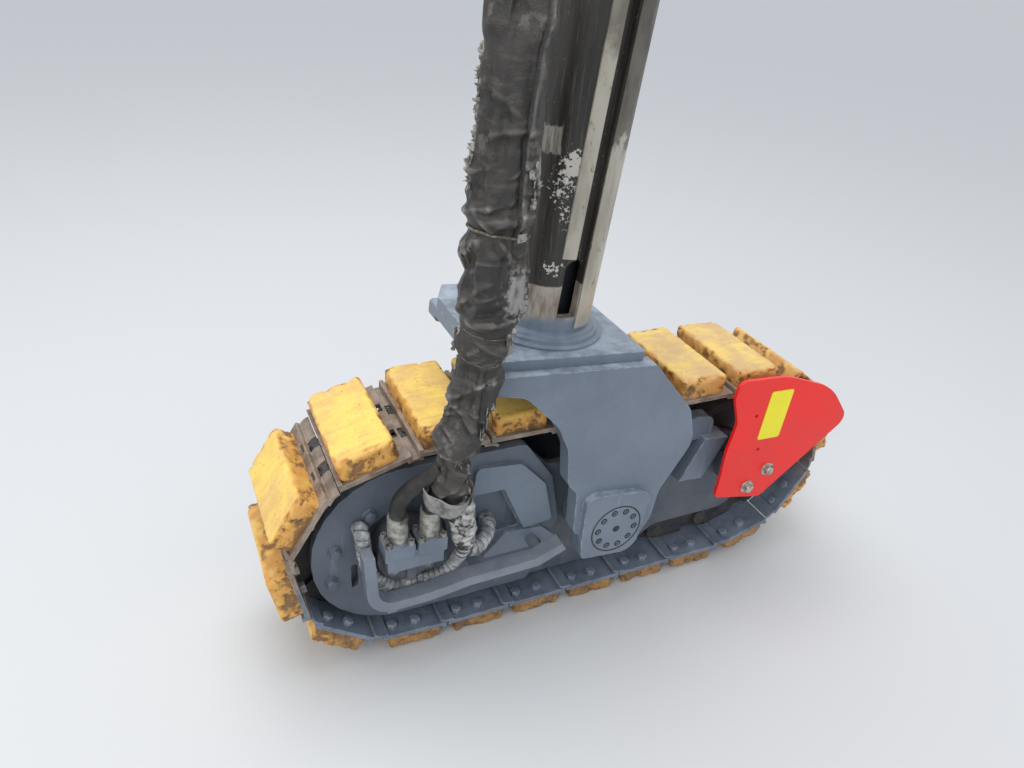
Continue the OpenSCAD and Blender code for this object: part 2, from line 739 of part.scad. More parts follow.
module hose_bracket() {
    color(steel_blue) at_column() difference() {
        union() {
            translate([0, 0, bracket_z]) linear_extrude(12) polygon(rounded([
                [-60, -tube_r, 0], [bracket_x + 60, bracket_y - 45, 20], [bracket_x - 55, bracket_y - 45, 20],
                [bracket_x - 55, bracket_y + 45, 20], [-tube_r - 10, 30, 0], [-60, 30, 0]]));
            translate([-tube_r - 14, -60, bracket_z - 60]) cube([40, 80, 61]);
        }
        cylinder(r = tube_r + 0.2, h = tube_top, $fn = 96);
        for (x = fitting_x)
            translate([bracket_x + x, bracket_y, bracket_z - 1]) cylinder(r = 14, h = 14, $fn = 32);
    }
}

module hose_fittings() {
    color(bare_metal) at_column() for (x = fitting_x)
        translate([bracket_x + x, bracket_y, 0]) {
            translate([0, 0, bracket_z - 47]) cylinder(r = 21, h = 47, $fn = 6);
            translate([0, 0, bracket_z - 1]) cylinder(r = 13.8, h = 40, $fn = 32);
            translate([0, 0, bracket_z + 12]) cylinder(r = 21, h = 14, $fn = 6);
        }
}

shoes();
pads();
chain();
sprocket();
drive_housing();
gear_cover();
idler();
idler_axle();
rollers();
carrier_roller();
frame();
drive_cover();
pivot_tube();
step_block();
motor();
port_block();
ferrules();
pipe_guard();
guard_bracket();
track_guard();
yoke_arm(-1);  // yoke_arm_outer
yoke_arm(1);  // yoke_arm_inner
yoke_bridge();
flange();
swing_pin();
pin_covers();
column_tube();
guide_strips();
cylinder_barrel();
cylinder_gland();
lift_rod();
hoses();
wrapped_hose_left();
wrapped_hose_right();
hose_sleeve();
hose_bracket();
hose_fittings();
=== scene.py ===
import math
import random
import bmesh
import bpy
from mathutils import Matrix, Vector, noise


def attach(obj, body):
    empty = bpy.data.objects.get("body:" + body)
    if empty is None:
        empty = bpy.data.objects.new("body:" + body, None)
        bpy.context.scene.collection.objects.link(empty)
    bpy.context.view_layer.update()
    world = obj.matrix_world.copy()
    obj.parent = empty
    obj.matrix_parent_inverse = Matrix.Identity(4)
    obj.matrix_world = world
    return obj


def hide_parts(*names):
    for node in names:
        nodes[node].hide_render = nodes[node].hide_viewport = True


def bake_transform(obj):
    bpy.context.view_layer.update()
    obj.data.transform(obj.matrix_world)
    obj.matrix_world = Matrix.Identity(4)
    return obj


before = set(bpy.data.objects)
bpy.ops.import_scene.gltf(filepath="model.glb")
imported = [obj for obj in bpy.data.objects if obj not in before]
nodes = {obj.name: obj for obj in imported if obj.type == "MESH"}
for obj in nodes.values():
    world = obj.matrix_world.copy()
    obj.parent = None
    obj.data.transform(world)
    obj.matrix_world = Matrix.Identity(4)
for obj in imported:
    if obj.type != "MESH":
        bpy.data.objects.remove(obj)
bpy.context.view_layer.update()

print("frame loaded:", len(nodes), "nodes")


def smooth(a, b, x):  # 0 at a, 1 at b, eased between
    t = min(max((x - a) / (b - a), 0.0), 1.0)
    return t * t * (3 - 2 * t)


def place(at, axis=(0, 0, 1)):  # a matrix at a point, its Z along the axis
    return Matrix.Translation(at) @ Vector(axis).to_track_quat("Z", "Y").to_matrix().to_4x4()


def addObject(name, data):
    made = bpy.data.objects.new(name, data)
    bpy.context.scene.collection.objects.link(made)
    return made


def meshOf(bm, name):
    mesh = bpy.data.meshes.new(name)
    bm.to_mesh(mesh)
    bm.free()
    return mesh


def finishPiece(name, bm, material, body, slot, smoothAngle=40, normals=True):
    if normals:
        bmesh.ops.recalc_face_normals(bm, faces=bm.faces)
    mesh = meshOf(bm, name)
    piece = addObject(name, mesh)
    mesh.materials.append(material)
    mesh.polygons.foreach_set("use_smooth", [True] * len(mesh.polygons))
    mesh.set_sharp_from_angle(angle=math.radians(smoothAngle))
    if isinstance(body, str):
        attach(piece, body)
    else:
        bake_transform(piece)
    return piece


def addWall(piece, thickness):
    wall = piece.modifiers.new("wall", "SOLIDIFY")
    wall.thickness, wall.offset = thickness, 0


def bevelEdges(bm, edges, offset, segments):
    bmesh.ops.bevel(bm, geom=edges, offset=offset, offset_type="OFFSET", segments=segments, profile=0.5,
                    affect="EDGES", material=-1)


def addBox(bm, at, size):
    bmesh.ops.create_cube(bm, size=1, matrix=at @ Matrix.Diagonal((*size, 1)))


def sinkFace(bm, face, border, step):  # a hollow in a face, inside a border
    bmesh.ops.inset_region(bm, faces=[face], thickness=border)
    sunk = bmesh.ops.extrude_discrete_faces(bm, faces=[face])["faces"]
    bmesh.ops.translate(bm, verts=sunk[0].verts[:], vec=step)


viewing = {
    "place": (-0.801, -1.192, 1.332),
    "right": (0.9061, -0.4149, 0.0830),
    "up": (0.1492, 0.4969, 0.8549),
    "back": (-0.3959, -0.7621, 0.5122),
    "lens": 27.76,
}
camData = bpy.data.cameras.new("trackCamera")
camData.lens, camData.sensor_width = viewing["lens"], 36
camData.clip_start, camData.clip_end = 0.05, 60
camera = addObject("trackCamera", camData)
turn = Matrix((viewing["right"], viewing["up"], viewing["back"])).transposed()
camera.matrix_world = Matrix.Translation(viewing["place"]) @ turn.to_4x4()
bpy.context.scene.camera = camera
bpy.context.scene.view_settings.view_transform = "Standard"

light = {
    "sky": (0.86, 0.91, 1.0, 1.0), "skyStrength": 0.95, "backdrop": (0.90, 0.91, 0.92, 1.0),
    "aim": (0, 0, 0.4),
    # lamps [name, place, width, power, colour]
    "lamps": [("overheadLamp", (-0.6, 0.5, 4.2), 3.0, 80, (1, 1, 1)),
              ("sideLamp", (-3.0, -2.4, 2.6), 2.4, 42, (1.0, 0.98, 0.95))],
}
for name, at, width, power, colour in light["lamps"]:
    lamp = bpy.data.lights.new(name, "AREA")
    lamp.shape, lamp.size, lamp.energy, lamp.color = "DISK", width, power, colour
    obj = addObject(name, lamp)
    obj.location = at
    obj.rotation_mode = "QUATERNION"
    obj.rotation_quaternion = (Vector(light["aim"]) - Vector(at)).to_track_quat("-Z", "Y")

bench = {"tree": None}  # the node tree that is being built


def srgb(r, g, b):  # 0-255 screen colour to a linear one
    return tuple(((c / 255 + 0.055) / 1.055) ** 2.4 if c > 10 else c / 3294.6 for c in (r, g, b)) + (1.0,)


def link(value, socket):
    bench["tree"].links.new(value, socket)


def addNode(kind, inputs=None, **settings):
    node = bench["tree"].nodes.new(kind)
    for name, value in settings.items():
        setattr(node, name, value)
    for name, value in (inputs or {}).items():
        if isinstance(value, bpy.types.NodeSocket):
            link(value, node.inputs[name])
        else:
            node.inputs[name].default_value = value
    return node


def mathNode(operation, a, b, clamp=False):
    return addNode("ShaderNodeMath", {0: a, 1: b}, operation=operation, use_clamp=clamp).outputs[0]


def times(a, b):
    return mathNode("MULTIPLY", a, b)


def plus(a, b):
    return mathNode("ADD", a, b)


def vectorNode(operation, a, b=(0, 0, 0), result=0):
    return addNode("ShaderNodeVectorMath", {0: a, 1: b}, operation=operation).outputs[result]


def axesOf(vector):
    return addNode("ShaderNodeSeparateXYZ", {0: vector}).outputs


def objectCoords():
    return addNode("ShaderNodeTexCoord").outputs["Object"]


def attributeNode(name, result):
    return addNode("ShaderNodeAttribute", attribute_name=name).outputs[result]


def rangeNode(value, low, high, toLow=0.0, toHigh=1.0):
    return addNode("ShaderNodeMapRange", {
        "Value": value, "From Min": low, "From Max": high, "To Min": toLow, "To Max": toHigh,
    }, interpolation_type="SMOOTHSTEP").outputs[0]


def cloudNode(coords, scale, detail, roughness=0.5, distortion=0.0, **settings):
    return addNode("ShaderNodeTexNoise", {
        "Vector": coords, "Scale": scale, "Detail": detail, "Roughness": roughness, "Distortion": distortion,
    }, **settings).outputs[0]


def mixColour(factor, a, b):  # colours as sockets or as 0-255 screen values
    a, b = (srgb(*c) if isinstance(c, tuple) else c for c in (a, b))
    return addNode("ShaderNodeMix", {0: factor, 6: a, 7: b}, data_type="RGBA").outputs[2]


def over(base, mask, colour, share=1.0):  # a colour laid over the base where the mask says
    return mixColour(mask if share == 1.0 else times(mask, share), base, colour)


world = bpy.data.worlds.new("paleSky")
bpy.context.scene.world = world
world.use_nodes = True
bench["tree"] = world.node_tree
world.node_tree.nodes.clear()
rays = addNode("ShaderNodeLightPath").outputs
seen = mathNode("MAXIMUM", rays["Is Camera Ray"], rays["Is Glossy Ray"])
seen = mathNode("MAXIMUM", seen, rays["Is Transmission Ray"])
dome = addNode("ShaderNodeBackground", {"Color": light["sky"], "Strength": light["skyStrength"]})
backdrop = addNode("ShaderNodeBackground", {"Color": light["backdrop"]})
chooser = addNode("ShaderNodeMixShader", {0: seen, 1: dome.outputs[0], 2: backdrop.outputs[0]})
addNode("ShaderNodeOutputWorld", {"Surface": chooser.outputs[0]})


def newGroup(name, output, **inputs):
    group = bpy.data.node_groups.new(name, "ShaderNodeTree")
    bench["tree"] = group
    for label, value in inputs.items():
        kind = "NodeSocketVector" if isinstance(value, tuple) else "NodeSocketFloat"
        group.interface.new_socket(label, in_out="INPUT", socket_type=kind).default_value = value
    kind = "NodeSocketVector" if output == "Normal" else "NodeSocketFloat"
    group.interface.new_socket(output, in_out="OUTPUT", socket_type=kind)
    return group, addNode("NodeGroupInput").outputs, addNode("NodeGroupOutput").inputs[output]


# soft blotches, such as in paint or dirt
mottle, given, made = newGroup("mottle", "Mask", Scale=20.0, Low=0.4, High=0.6, Stretch=(1, 1, 1))
stretched = vectorNode("MULTIPLY", objectCoords(), given["Stretch"])
link(rangeNode(cloudNode(stretched, given["Scale"], 5.0, 0.62), given["Low"], given["High"]), made)

# rubbed edges, with a pale tone also a painted edge highlight: where a rounded normal leaves the face's own
wornAndLitEdges, given, made = newGroup("wornAndLitEdges", "Mask", Radius=0.003, Amount=1.0, Scale=60.0)
roundNormal = addNode("ShaderNodeBevel", {"Radius": given["Radius"]}, samples=4).outputs[0]
faceNormal = addNode("ShaderNodeNewGeometry").outputs["Normal"]
edge = rangeNode(vectorNode("DOT_PRODUCT", roundNormal, faceNormal, "Value"), 0.99, 0.86)
patchy = rangeNode(cloudNode(objectCoords(), given["Scale"], 4.0), 0.38, 0.60)
link(mathNode("MULTIPLY", times(edge, patchy), given["Amount"], clamp=True), made)

# edges rounded in the shading, under a fine bump
softEdge, given, made = newGroup("softEdge", "Normal", Radius=0.002, Height=0.5, Strength=0.1, Depth=0.001)
roundNormal = addNode("ShaderNodeBevel", {"Radius": given["Radius"]}, samples=4).outputs[0]
link(addNode("ShaderNodeBump", {
    "Strength": given["Strength"], "Distance": given["Depth"],
    "Height": given["Height"], "Normal": roundNormal,
}).outputs[0], made)

# dust that lies on faces that look up, and splashes low down; where its colour is a paler tone of the paint,
# the lighter faces that look up are painted top light
dustAndTopLight, given, made = newGroup("dustAndTopLight", "Mask", Low=0.05, High=0.35, Upward=0.5, Scale=14.0)
coords = objectCoords()
low = rangeNode(axesOf(coords)["Z"], given["High"], given["Low"])
facing = axesOf(addNode("ShaderNodeNewGeometry").outputs["Normal"])["Z"]
facingUpShare = times(rangeNode(facing, 0.3, 0.95), given["Upward"])
uneven = rangeNode(cloudNode(coords, given["Scale"], 6.0, 0.7), 0.34, 0.66)
link(mathNode("MULTIPLY", mathNode("MAXIMUM", low, facingUpShare), uneven, clamp=True), made)


def useGroup(group, **inputs):
    return addNode("ShaderNodeGroup", inputs, node_tree=group).outputs[0]


def blotches(scale, low, high, stretch=(1, 1, 1)):
    return useGroup(mottle, Scale=scale, Low=low, High=high, Stretch=stretch)


def roundedBump(radius, height, strength, depth):
    return useGroup(softEdge, Radius=radius, Height=height, Strength=strength, Depth=depth)


def between(mask, a, b):  # a where the mask is 0, b where it is 1
    return rangeNode(mask, 0.0, 1.0, a, b)


def bump(height, strength, depth):
    return addNode("ShaderNodeBump", {"Strength": strength, "Distance": depth, "Height": height}).outputs[0]


def newMaterial(name):
    mat = bpy.data.materials.new(name)
    mat.use_nodes = True
    mat.node_tree.nodes.clear()
    bench["tree"] = mat.node_tree
    shader = addNode("ShaderNodeBsdfPrincipled")
    addNode("ShaderNodeOutputMaterial", {"Surface": shader.outputs[0]})
    return mat, shader


def dress(shader, colour, roughness, normal, metallic=0.0):
    for name, value in (("Base Color", colour), ("Roughness", roughness), ("Normal", normal)):
        link(value, shader.inputs[name])
    shader.inputs["Metallic"].default_value = metallic


def painted(name, colour, shade, wornAndEdgeLight, dustAndTopLightColour=(150, 146, 140), rough=(0.36, 0.52), radius=0.0025,
            wear=0.5, dustHeights=(0.02, 0.30), upward=0.5, dustAndTopLightAmount=0.5, grain=0.08, outer=None):
    mat, shader = newMaterial(name)
    patches = blotches(7.0, 0.35, 0.68)
    fine = blotches(90.0, 0.30, 0.75)
    base = mixColour(patches, shade, colour)
    if outer:  # parts that stand further out than this are painted lighter
        base = over(base, mathNode("LESS_THAN", axesOf(objectCoords())["Y"], outer[0]), outer[1])
    base = over(base, fine, tuple(c * 0.75 for c in colour), 0.10)
    base = over(base, blotches(9.0, 0.62, 0.75, (4.0, 4.0, 0.5)), wornAndEdgeLight, 0.22)
    # rubbed edges; on the yoke and the hood their pale tone is also a painted edge highlight
    base = over(base, useGroup(wornAndLitEdges, Radius=radius, Amount=wear, Scale=55.0), wornAndEdgeLight)
    # dust low down and on faces that look up; for the yoke, the cover and the hood its pale paint tone on
    # faces that look up is painted top light
    cover = times(useGroup(dustAndTopLight, Low=dustHeights[0], High=dustHeights[1], Upward=upward), dustAndTopLightAmount)
    roughness = plus(between(patches, *rough), times(cover, 0.3))
    dress(shader, over(base, cover, dustAndTopLightColour), roughness, roundedBump(radius, fine, grain, 0.001))
    return mat


def mottled(name, pale, dark, rough=(0.28, 0.5), scale=30.0, stretch=(1, 1, 1), metallic=0.85,
            grime=None, grimeAt=(0.5, 0.66)):
    mat, shader = newMaterial(name)
    patches = blotches(scale, 0.35, 0.65, stretch)
    base = mixColour(patches, dark, pale)
    if grime:
        base = over(base, blotches(scale * 0.4, *grimeAt), grime)
    normal = roundedBump(0.001, patches, 0.15, 0.0005)
    dress(shader, base, between(patches, rough[1], rough[0]), normal, metallic)
    return mat


# painted finishes: colour, its shade, where it is worn (on the yoke and the hood also a painted edge
# highlight), and what differs from the usual
paints = {
    # yoke: the pale blue-grey given as dust on faces that look up is painted top light, and its bright worn
    # edges are a painted edge highlight
    "yokePaint": ((118, 128, 141), (106, 116, 129), (176, 184, 192), dict(
        dustHeights=(0.02, 0.10), upward=1.0, dustAndTopLightAmount=0.9, dustAndTopLightColour=(164, 174, 184), wear=0.9, radius=0.004)),
    "framePaint": ((89, 98, 109), (74, 83, 95), (128, 134, 140), dict(
        dustHeights=(0.03, 0.42), upward=0.8, dustAndTopLightAmount=0.45, dustAndTopLightColour=(118, 114, 108))),
    # cover: the pale blue-grey given as dust on faces that look up is painted top light
    "coverPaint": ((95, 104, 115), (80, 88, 99), (158, 164, 171), dict(
        dustHeights=(0.03, 0.10), upward=1.0, dustAndTopLightAmount=0.6, dustAndTopLightColour=(146, 154, 162))),
    # hood: the pale blue-grey given as dust on faces that look up is painted top light, and its worn edges
    # are partly a painted edge highlight
    "hoodPaint": ((95, 104, 115), (80, 88, 99), (168, 175, 182), dict(
        dustHeights=(0.03, 0.10), upward=1.0, dustAndTopLightAmount=0.6, dustAndTopLightColour=(150, 158, 166), wear=0.8,
        outer=(-0.0955, (116, 127, 140)))),
    "portPaint": ((122, 132, 144), (98, 107, 119), (176, 182, 188), dict(
        dustHeights=(0.1, 0.2), upward=0.8, dustAndTopLightColour=(150, 150, 146), rough=(0.4, 0.6))),
    "guardBarPaint": ((128, 137, 148), (108, 117, 128), (176, 182, 188), dict(dustHeights=(0.03, 0.3))),
    "motorPaint": ((96, 99, 108), (70, 74, 83), (140, 142, 146), dict(
        dustHeights=(0.1, 0.6), upward=0.9, dustAndTopLightColour=(122, 116, 108), rough=(0.45, 0.7))),
    "redPaint": ((248, 28, 16), (238, 33, 27), (240, 104, 86), dict(
        rough=(0.28, 0.38), wear=0.22, upward=0.1, dustAndTopLightAmount=0.1, dustAndTopLightColour=(200, 100, 86), grain=0.02)),
    "signPaint": ((250, 236, 36), (243, 226, 34), (250, 244, 150), dict(
        rough=(0.3, 0.4), wear=0.15, upward=0.0, dustAndTopLightAmount=0.1, grain=0.02)),
    "hiddenSteel": ((58, 61, 66), (42, 44, 48), (110, 108, 104), dict(
        dustHeights=(0.02, 0.5), upward=0.9, dustAndTopLightAmount=0.6, dustAndTopLightColour=(104, 94, 82), rough=(0.5, 0.75))),
}
# metal, rubber and cloth: pale and dark tone, and what differs from the usual
plainFinishes = {
    "zincBolt": ((205, 205, 198), (150, 148, 140), dict(scale=120.0, grime=(120, 112, 98))),
    "ferruleZinc": ((178, 178, 170), (128, 126, 118), dict(
        scale=60.0, grime=(92, 86, 78), metallic=0.45, rough=(0.4, 0.6))),
    "chromeRod": ((225, 226, 228), (190, 192, 196), dict(rough=(0.08, 0.2), scale=20.0, metallic=1.0)),
    "blackRubber": ((44, 43, 42), (28, 27, 26), dict(
        rough=(0.45, 0.65), scale=40.0, metallic=0.0, grime=(88, 84, 78), grimeAt=(0.56, 0.72))),
    "pinDark": ((44, 48, 54), (30, 32, 36), dict(rough=(0.5, 0.7), scale=80.0, metallic=0.1)),
    "stringCloth": ((128, 120, 104), (74, 69, 60), dict(rough=(0.6, 0.8), scale=160.0, metallic=0.0)),
    "tornCloth": ((172, 169, 162), (92, 87, 81), dict(
        rough=(0.5, 0.7), scale=120.0, metallic=0.0, grime=(66, 61, 57), grimeAt=(0.54, 0.64))),
    "silverCloth": ((146, 145, 142), (88, 86, 83), dict(
        rough=(0.36, 0.58), scale=34.0, metallic=0.0, grime=(48, 45, 43), grimeAt=(0.54, 0.66))),
    "ragCloth": ((196, 195, 191), (124, 121, 116), dict(
        rough=(0.4, 0.6), scale=52.0, stretch=(1.0, 1.0, 1.8), metallic=0.0, grime=(38, 36, 34),
        grimeAt=(0.54, 0.60))),
}
materials = {name: painted(name, *tones, **more) for name, (*tones, more) in paints.items()}
materials.update({name: mottled(name, *tones, **more) for name, (*tones, more) in plainFinishes.items()})
print("paints, metals and cloths made")


def wornShoeMaterial():  # earthy above, blue paint below
    mat, shader = newMaterial("wornShoe")
    patches = blotches(16.0, 0.36, 0.64)
    earth = blotches(26.0, 0.52, 0.66)
    top = over(mixColour(patches, (112, 99, 88), (158, 142, 126)), earth, (128, 92, 66), 0.7)
    lowPaint = mixColour(patches, (101, 112, 126), (125, 136, 150))
    base = mixColour(rangeNode(axesOf(objectCoords())["Z"], 0.30, 0.16), top, lowPaint)
    base = over(base, useGroup(wornAndLitEdges, Radius=0.003, Amount=0.9, Scale=70.0), (186, 178, 166))
    dress(shader, base, between(patches, 0.7, 0.5), roundedBump(0.0015, earth, 0.35, 0.0015), 0.15)
    return mat


tubeMarks = {
    # bare places on the greased tube: [centre, half sizes, noise scale, how much of the place is bare]
    "flakes": [((-0.153, -0.086, 0.984), (0.036, 0.06, 0.052), 95.0, 0.74),
               ((-0.168, -0.086, 0.955), (0.034, 0.06, 0.075), 170.0, 0.42),
               ((-0.158, -0.086, 0.905), (0.018, 0.06, 0.040), 190.0, 0.50),
               ((-0.170, -0.086, 0.811), (0.032, 0.06, 0.024), 150.0, 0.55)],
    "brushed": ((-0.190, -0.058, 1.025), (0.019, 0.030, 0.024)),
    "greaseFoot": 0.779, "bareFoot": 0.728, "paintTop": 0.706,
}


def offCentre(coords, centre, reach):  # 1 long at the rim of a place
    return vectorNode("DIVIDE", vectorNode("SUBTRACT", coords, centre), reach)


def nearPoint(coords, centre, reach, firm):  # 1 inside a rounded place, 0 outside it
    return rangeNode(vectorNode("LENGTH", offCentre(coords, centre, reach), result="Value"), 1.0, firm)


def greasyTubeMaterial():
    mat, shader = newMaterial("greasyTube")
    coords = objectCoords()
    smear = blotches(10.0, 0.3, 0.7, (3.0, 3.0, 0.35))
    base = mixColour(smear, (34, 32, 29), (60, 56, 51))
    base = over(base, blotches(30.0, 0.52, 0.70, (5.0, 5.0, 0.22)), (104, 97, 86), 0.4)
    base = over(base, blotches(150.0, 0.66, 0.70), (150, 144, 134), 0.5)
    hairs = blotches(45.0, 0.3, 0.7, (6.0, 6.0, 0.3))
    brushed = mixColour(hairs, (112, 106, 96), (156, 150, 138))
    sides = axesOf(vectorNode("ABSOLUTE", offCentre(coords, *tubeMarks["brushed"])))
    ragged = plus(mathNode("MAXIMUM", sides["X"], sides["Z"]), times(hairs, 0.3))
    base = over(base, times(rangeNode(ragged, 1.12, 1.0), rangeNode(hairs, 0.0, 0.5, 0.5, 0.9)), brushed)
    for centre, reach, scale, bare in tubeMarks["flakes"]:
        grain = times(blotches(scale, 0.32, 0.68), 0.75)
        near = times(nearPoint(coords, centre, reach, 0.0), bare)
        base = over(base, rangeNode(plus(grain, near), 0.84, 0.90), (204, 199, 188), 0.9)
    level = plus(axesOf(coords)["Z"], times(blotches(16.0, 0.3, 0.7), 0.006))
    rusty = mixColour(blotches(26.0, 0.36, 0.62, (2.0, 2.0, 0.5)), (128, 110, 92), (172, 164, 150))
    base = over(base, rangeNode(level, tubeMarks["greaseFoot"] + 0.004, tubeMarks["greaseFoot"]), rusty)
    paint = mixColour(smear, (106, 117, 131), (124, 135, 148))
    base = over(base, rangeNode(level, tubeMarks["bareFoot"], tubeMarks["paintTop"]), paint)
    dress(shader, base, between(smear, 0.30, 0.46), roundedBump(0.002, hairs, 0.15, 0.0006))
    return mat


stripMarks = {"greasyFrom": (1.035, 1.065), "stainedFrom": (1.17, 1.22), "lean": 0.0787,
              "broadFrom": (-0.180, -0.172)}


def guideStripMaterial():  # worn bright below, greasy on the broad strip above
    mat, shader = newMaterial("guideStrip")
    spot = axesOf(objectCoords())
    patches = blotches(24.0, 0.34, 0.66, (1.0, 1.0, 0.3))
    base = mixColour(patches, (158, 152, 138), (186, 180, 164))
    base = over(base, blotches(60.0, 0.60, 0.68, (1.0, 1.0, 0.5)), (96, 86, 72), 0.6)
    height = plus(spot["Z"], times(blotches(30.0, 0.3, 0.7), 0.05))
    across = mathNode("SUBTRACT", spot["X"], times(spot["Z"], stripMarks["lean"]))
    broad = rangeNode(across, *stripMarks["broadFrom"])
    greased = mixColour(patches, (68, 64, 57), (98, 92, 82))
    base = over(base, rangeNode(height, *stripMarks["stainedFrom"]), greased, 0.6)
    base = over(base, times(rangeNode(height, *stripMarks["greasyFrom"]), broad), greased, 0.9)
    dress(shader, base, between(patches, 0.5, 0.32), roundedBump(0.002, patches, 0.2, 0.0006), 0.3)
    return mat


materials.update(wornShoe=wornShoeMaterial(), greasyTube=greasyTubeMaterial(),
                 guideStrip=guideStripMaterial())

finishes = {  # which carried-over nodes get which finish
    "wornShoe": "shoes",
    "hiddenSteel": "chain sprocket drive_housing idler rollers carrier_roller cylinder_barrel",
    "framePaint": "idler_axle frame pivot_tube guard_bracket",
    "coverPaint": "gear_cover cylinder_gland",
    "hoodPaint": "drive_cover",
    "yokePaint": "step_block yoke_arm_outer yoke_arm_inner yoke_bridge flange pin_covers hose_bracket",
    "motorPaint": "motor",
    "portPaint": "port_block",
    "ferruleZinc": "ferrules hose_fittings",
    "guardBarPaint": "pipe_guard",
    "redPaint": "track_guard pads",
    "zincBolt": "swing_pin",
    "greasyTube": "column_tube",
    "guideStrip": "guide_strips",
    "chromeRod": "lift_rod",
    "blackRubber": "hoses wrapped_hose_left wrapped_hose_right hose_sleeve",
}
for finish, names in finishes.items():
    for name in names.split():
        slots = nodes[name].data.materials
        slots.clear()
        slots.append(materials[finish])

track = {
    "pitch": 0.140, "teeth": 17, "runPitches": 5, "pinLead": 0.014, "pinAhead": 0.030,
    "shoeWidth": 0.250, "shoeGap": 0.004, "plate": 0.009, "padHeight": 0.042, "padLength": 0.110,
    "lip": 0.008, "linkOut": 0.027, "padInset": 0.007, "lipPlay": 0.0002, "padRound": 0.008,
    "cut": 0.0055,  # spacing of the mesh lines on a pad
    "clumps": 62, "crumbs": 3.1,  # how fine the torn lumps are, and how much finer their crumbs
    "tornDepth": 0.0075, "tornReach": 0.016, "chipReach": 0.010,  # how far the ends and long edges are worn
}


def linkFrames():  # each link's own frame: X in the running direction, Z outwards
    p, lead, runs = track["pitch"], track["pinLead"], track["runPitches"]
    step = math.radians(720 / track["teeth"])
    wheel = p / (2 * math.sin(step / 2))
    reach = math.hypot(wheel, lead)
    first = math.acos((wheel ** 2 + reach ** 2 - p ** 2) / (2 * wheel * reach)) - math.atan(lead / wheel)
    onWheel = int((math.pi - first) / step) + 1
    last = first + (onWheel - 1) * step
    run = math.sqrt(p ** 2 - (wheel * (1 + math.cos(last))) ** 2) - wheel * math.sin(last)
    gap = runs * p + lead + run
    half = [(-gap / 2 + run + i * p, -wheel) for i in range(runs + 1)]
    turns = [first + k * step for k in range(onWheel)]
    half += [(gap / 2 + wheel * math.sin(t), -wheel * math.cos(t)) for t in turns]
    pins = half + [(-x, -z) for x, z in half]
    axleHeight = wheel + track["linkOut"] + track["plate"] + track["padHeight"]
    frames = []
    for a, b in zip(pins, pins[1:] + pins[:1]):
        along = Vector((b[0] - a[0], 0, b[1] - a[1])).normalized()
        out = Vector((along.z, 0, -along.x))
        turned = Matrix((along, out.cross(along), out)).transposed().to_4x4()
        middle = ((a[0] + b[0]) / 2 - track["pinAhead"], 0, (a[1] + b[1]) / 2 + axleHeight)
        frames.append(Matrix.Translation(middle) @ turned)
    return frames


def padBlank():  # one pad, cut into a fine net, in the link's frame
    long, wide, high = track["padLength"], track["shoeWidth"] - 2 * track["padInset"], track["padHeight"]
    front = (track["pitch"] - track["shoeGap"]) / 2 - track["lip"] - track["lipPlay"]
    foot = track["linkOut"] + track["plate"]
    bm = bmesh.new()
    middle = Matrix.Translation((front - long / 2, 0, foot + high / 2))
    addBox(bm, middle, (long, wide, high))
    upper = [e for e in bm.edges if all(v.co.z > foot + high / 2 for v in e.verts)]
    upright = [e for e in bm.edges if abs(e.verts[0].co.z - e.verts[1].co.z) > high / 2]
    bevelEdges(bm, upper + upright, track["padRound"], 3)
    for axis, low, size in ((0, front - long, long), (1, -wide / 2, wide), (2, foot, high)):
        cuts = round(size / track["cut"])
        for i in range(1, cuts):
            at, normal = [0, 0, 0], [0, 0, 0]
            at[axis], normal[axis] = low + i * size / cuts, 1
            parts = bm.verts[:] + bm.edges[:] + bm.faces[:]
            bmesh.ops.bisect_plane(bm, geom=parts, dist=1e-6, plane_co=at, plane_no=normal)
    return meshOf(bm, "padBlank"), front, foot, long, wide, high


def makePads():
    blank, front, foot, long, wide, high = padBlank()
    bm = bmesh.new()
    placeLayer = bm.verts.layers.float_vector.new("padPlace")
    wearLayer = bm.verts.layers.float.new("padWear")
    for number, linkFrame in enumerate(linkFrames()):
        before = len(bm.verts)
        bm.from_mesh(blank)
        bm.verts.ensure_lookup_table()
        seed = Vector((number * 3.17, number * 1.71, number * 2.39))
        for v in bm.verts[before:]:
            x, y, z = v.co
            endIn = wide / 2 - abs(y)
            sideIn = min(front - x, x - (front - long))
            top = (z - foot) / high
            spot = Vector((x, y, z)) * track["clumps"] + seed
            coarse = noise.noise(spot)
            fine = noise.noise(spot * track["crumbs"])
            clump = max(0.0, coarse * 1.6 + 0.18 + fine * 0.6)
            torn = smooth(track["tornReach"], 0.001, endIn) * clump
            chipped = smooth(track["chipReach"], 0.0, sideIn) * max(0.0, coarse + fine * 0.7 - 0.08)
            v.co.y -= math.copysign(track["tornDepth"] * torn * (0.45 + 0.55 * top), y)
            v.co.z -= top * (0.004 * torn + 0.0025 * chipped + 0.0007 * (noise.noise(spot * 0.4) + 0.6))
            v.co.x += (0.0035 * chipped + 0.0005 * fine) * (1 if x < front - long / 2 else -1)
            v[placeLayer] = (x + seed.x, y + seed.y, z)
            endWear = 0.9 * smooth(0.020, 0.002, endIn) * (0.5 + clump)
            sideWear = 0.8 * smooth(0.011, 0.0, sideIn) * (0.55 + coarse)
            footWear = 0.45 * (1 - top) * smooth(0.02, 0, min(endIn, sideIn))
            v[wearLayer] = min(1.0, endWear + sideWear + footWear)
            v.co = linkFrame @ v.co
    bpy.data.meshes.remove(blank)
    return bm


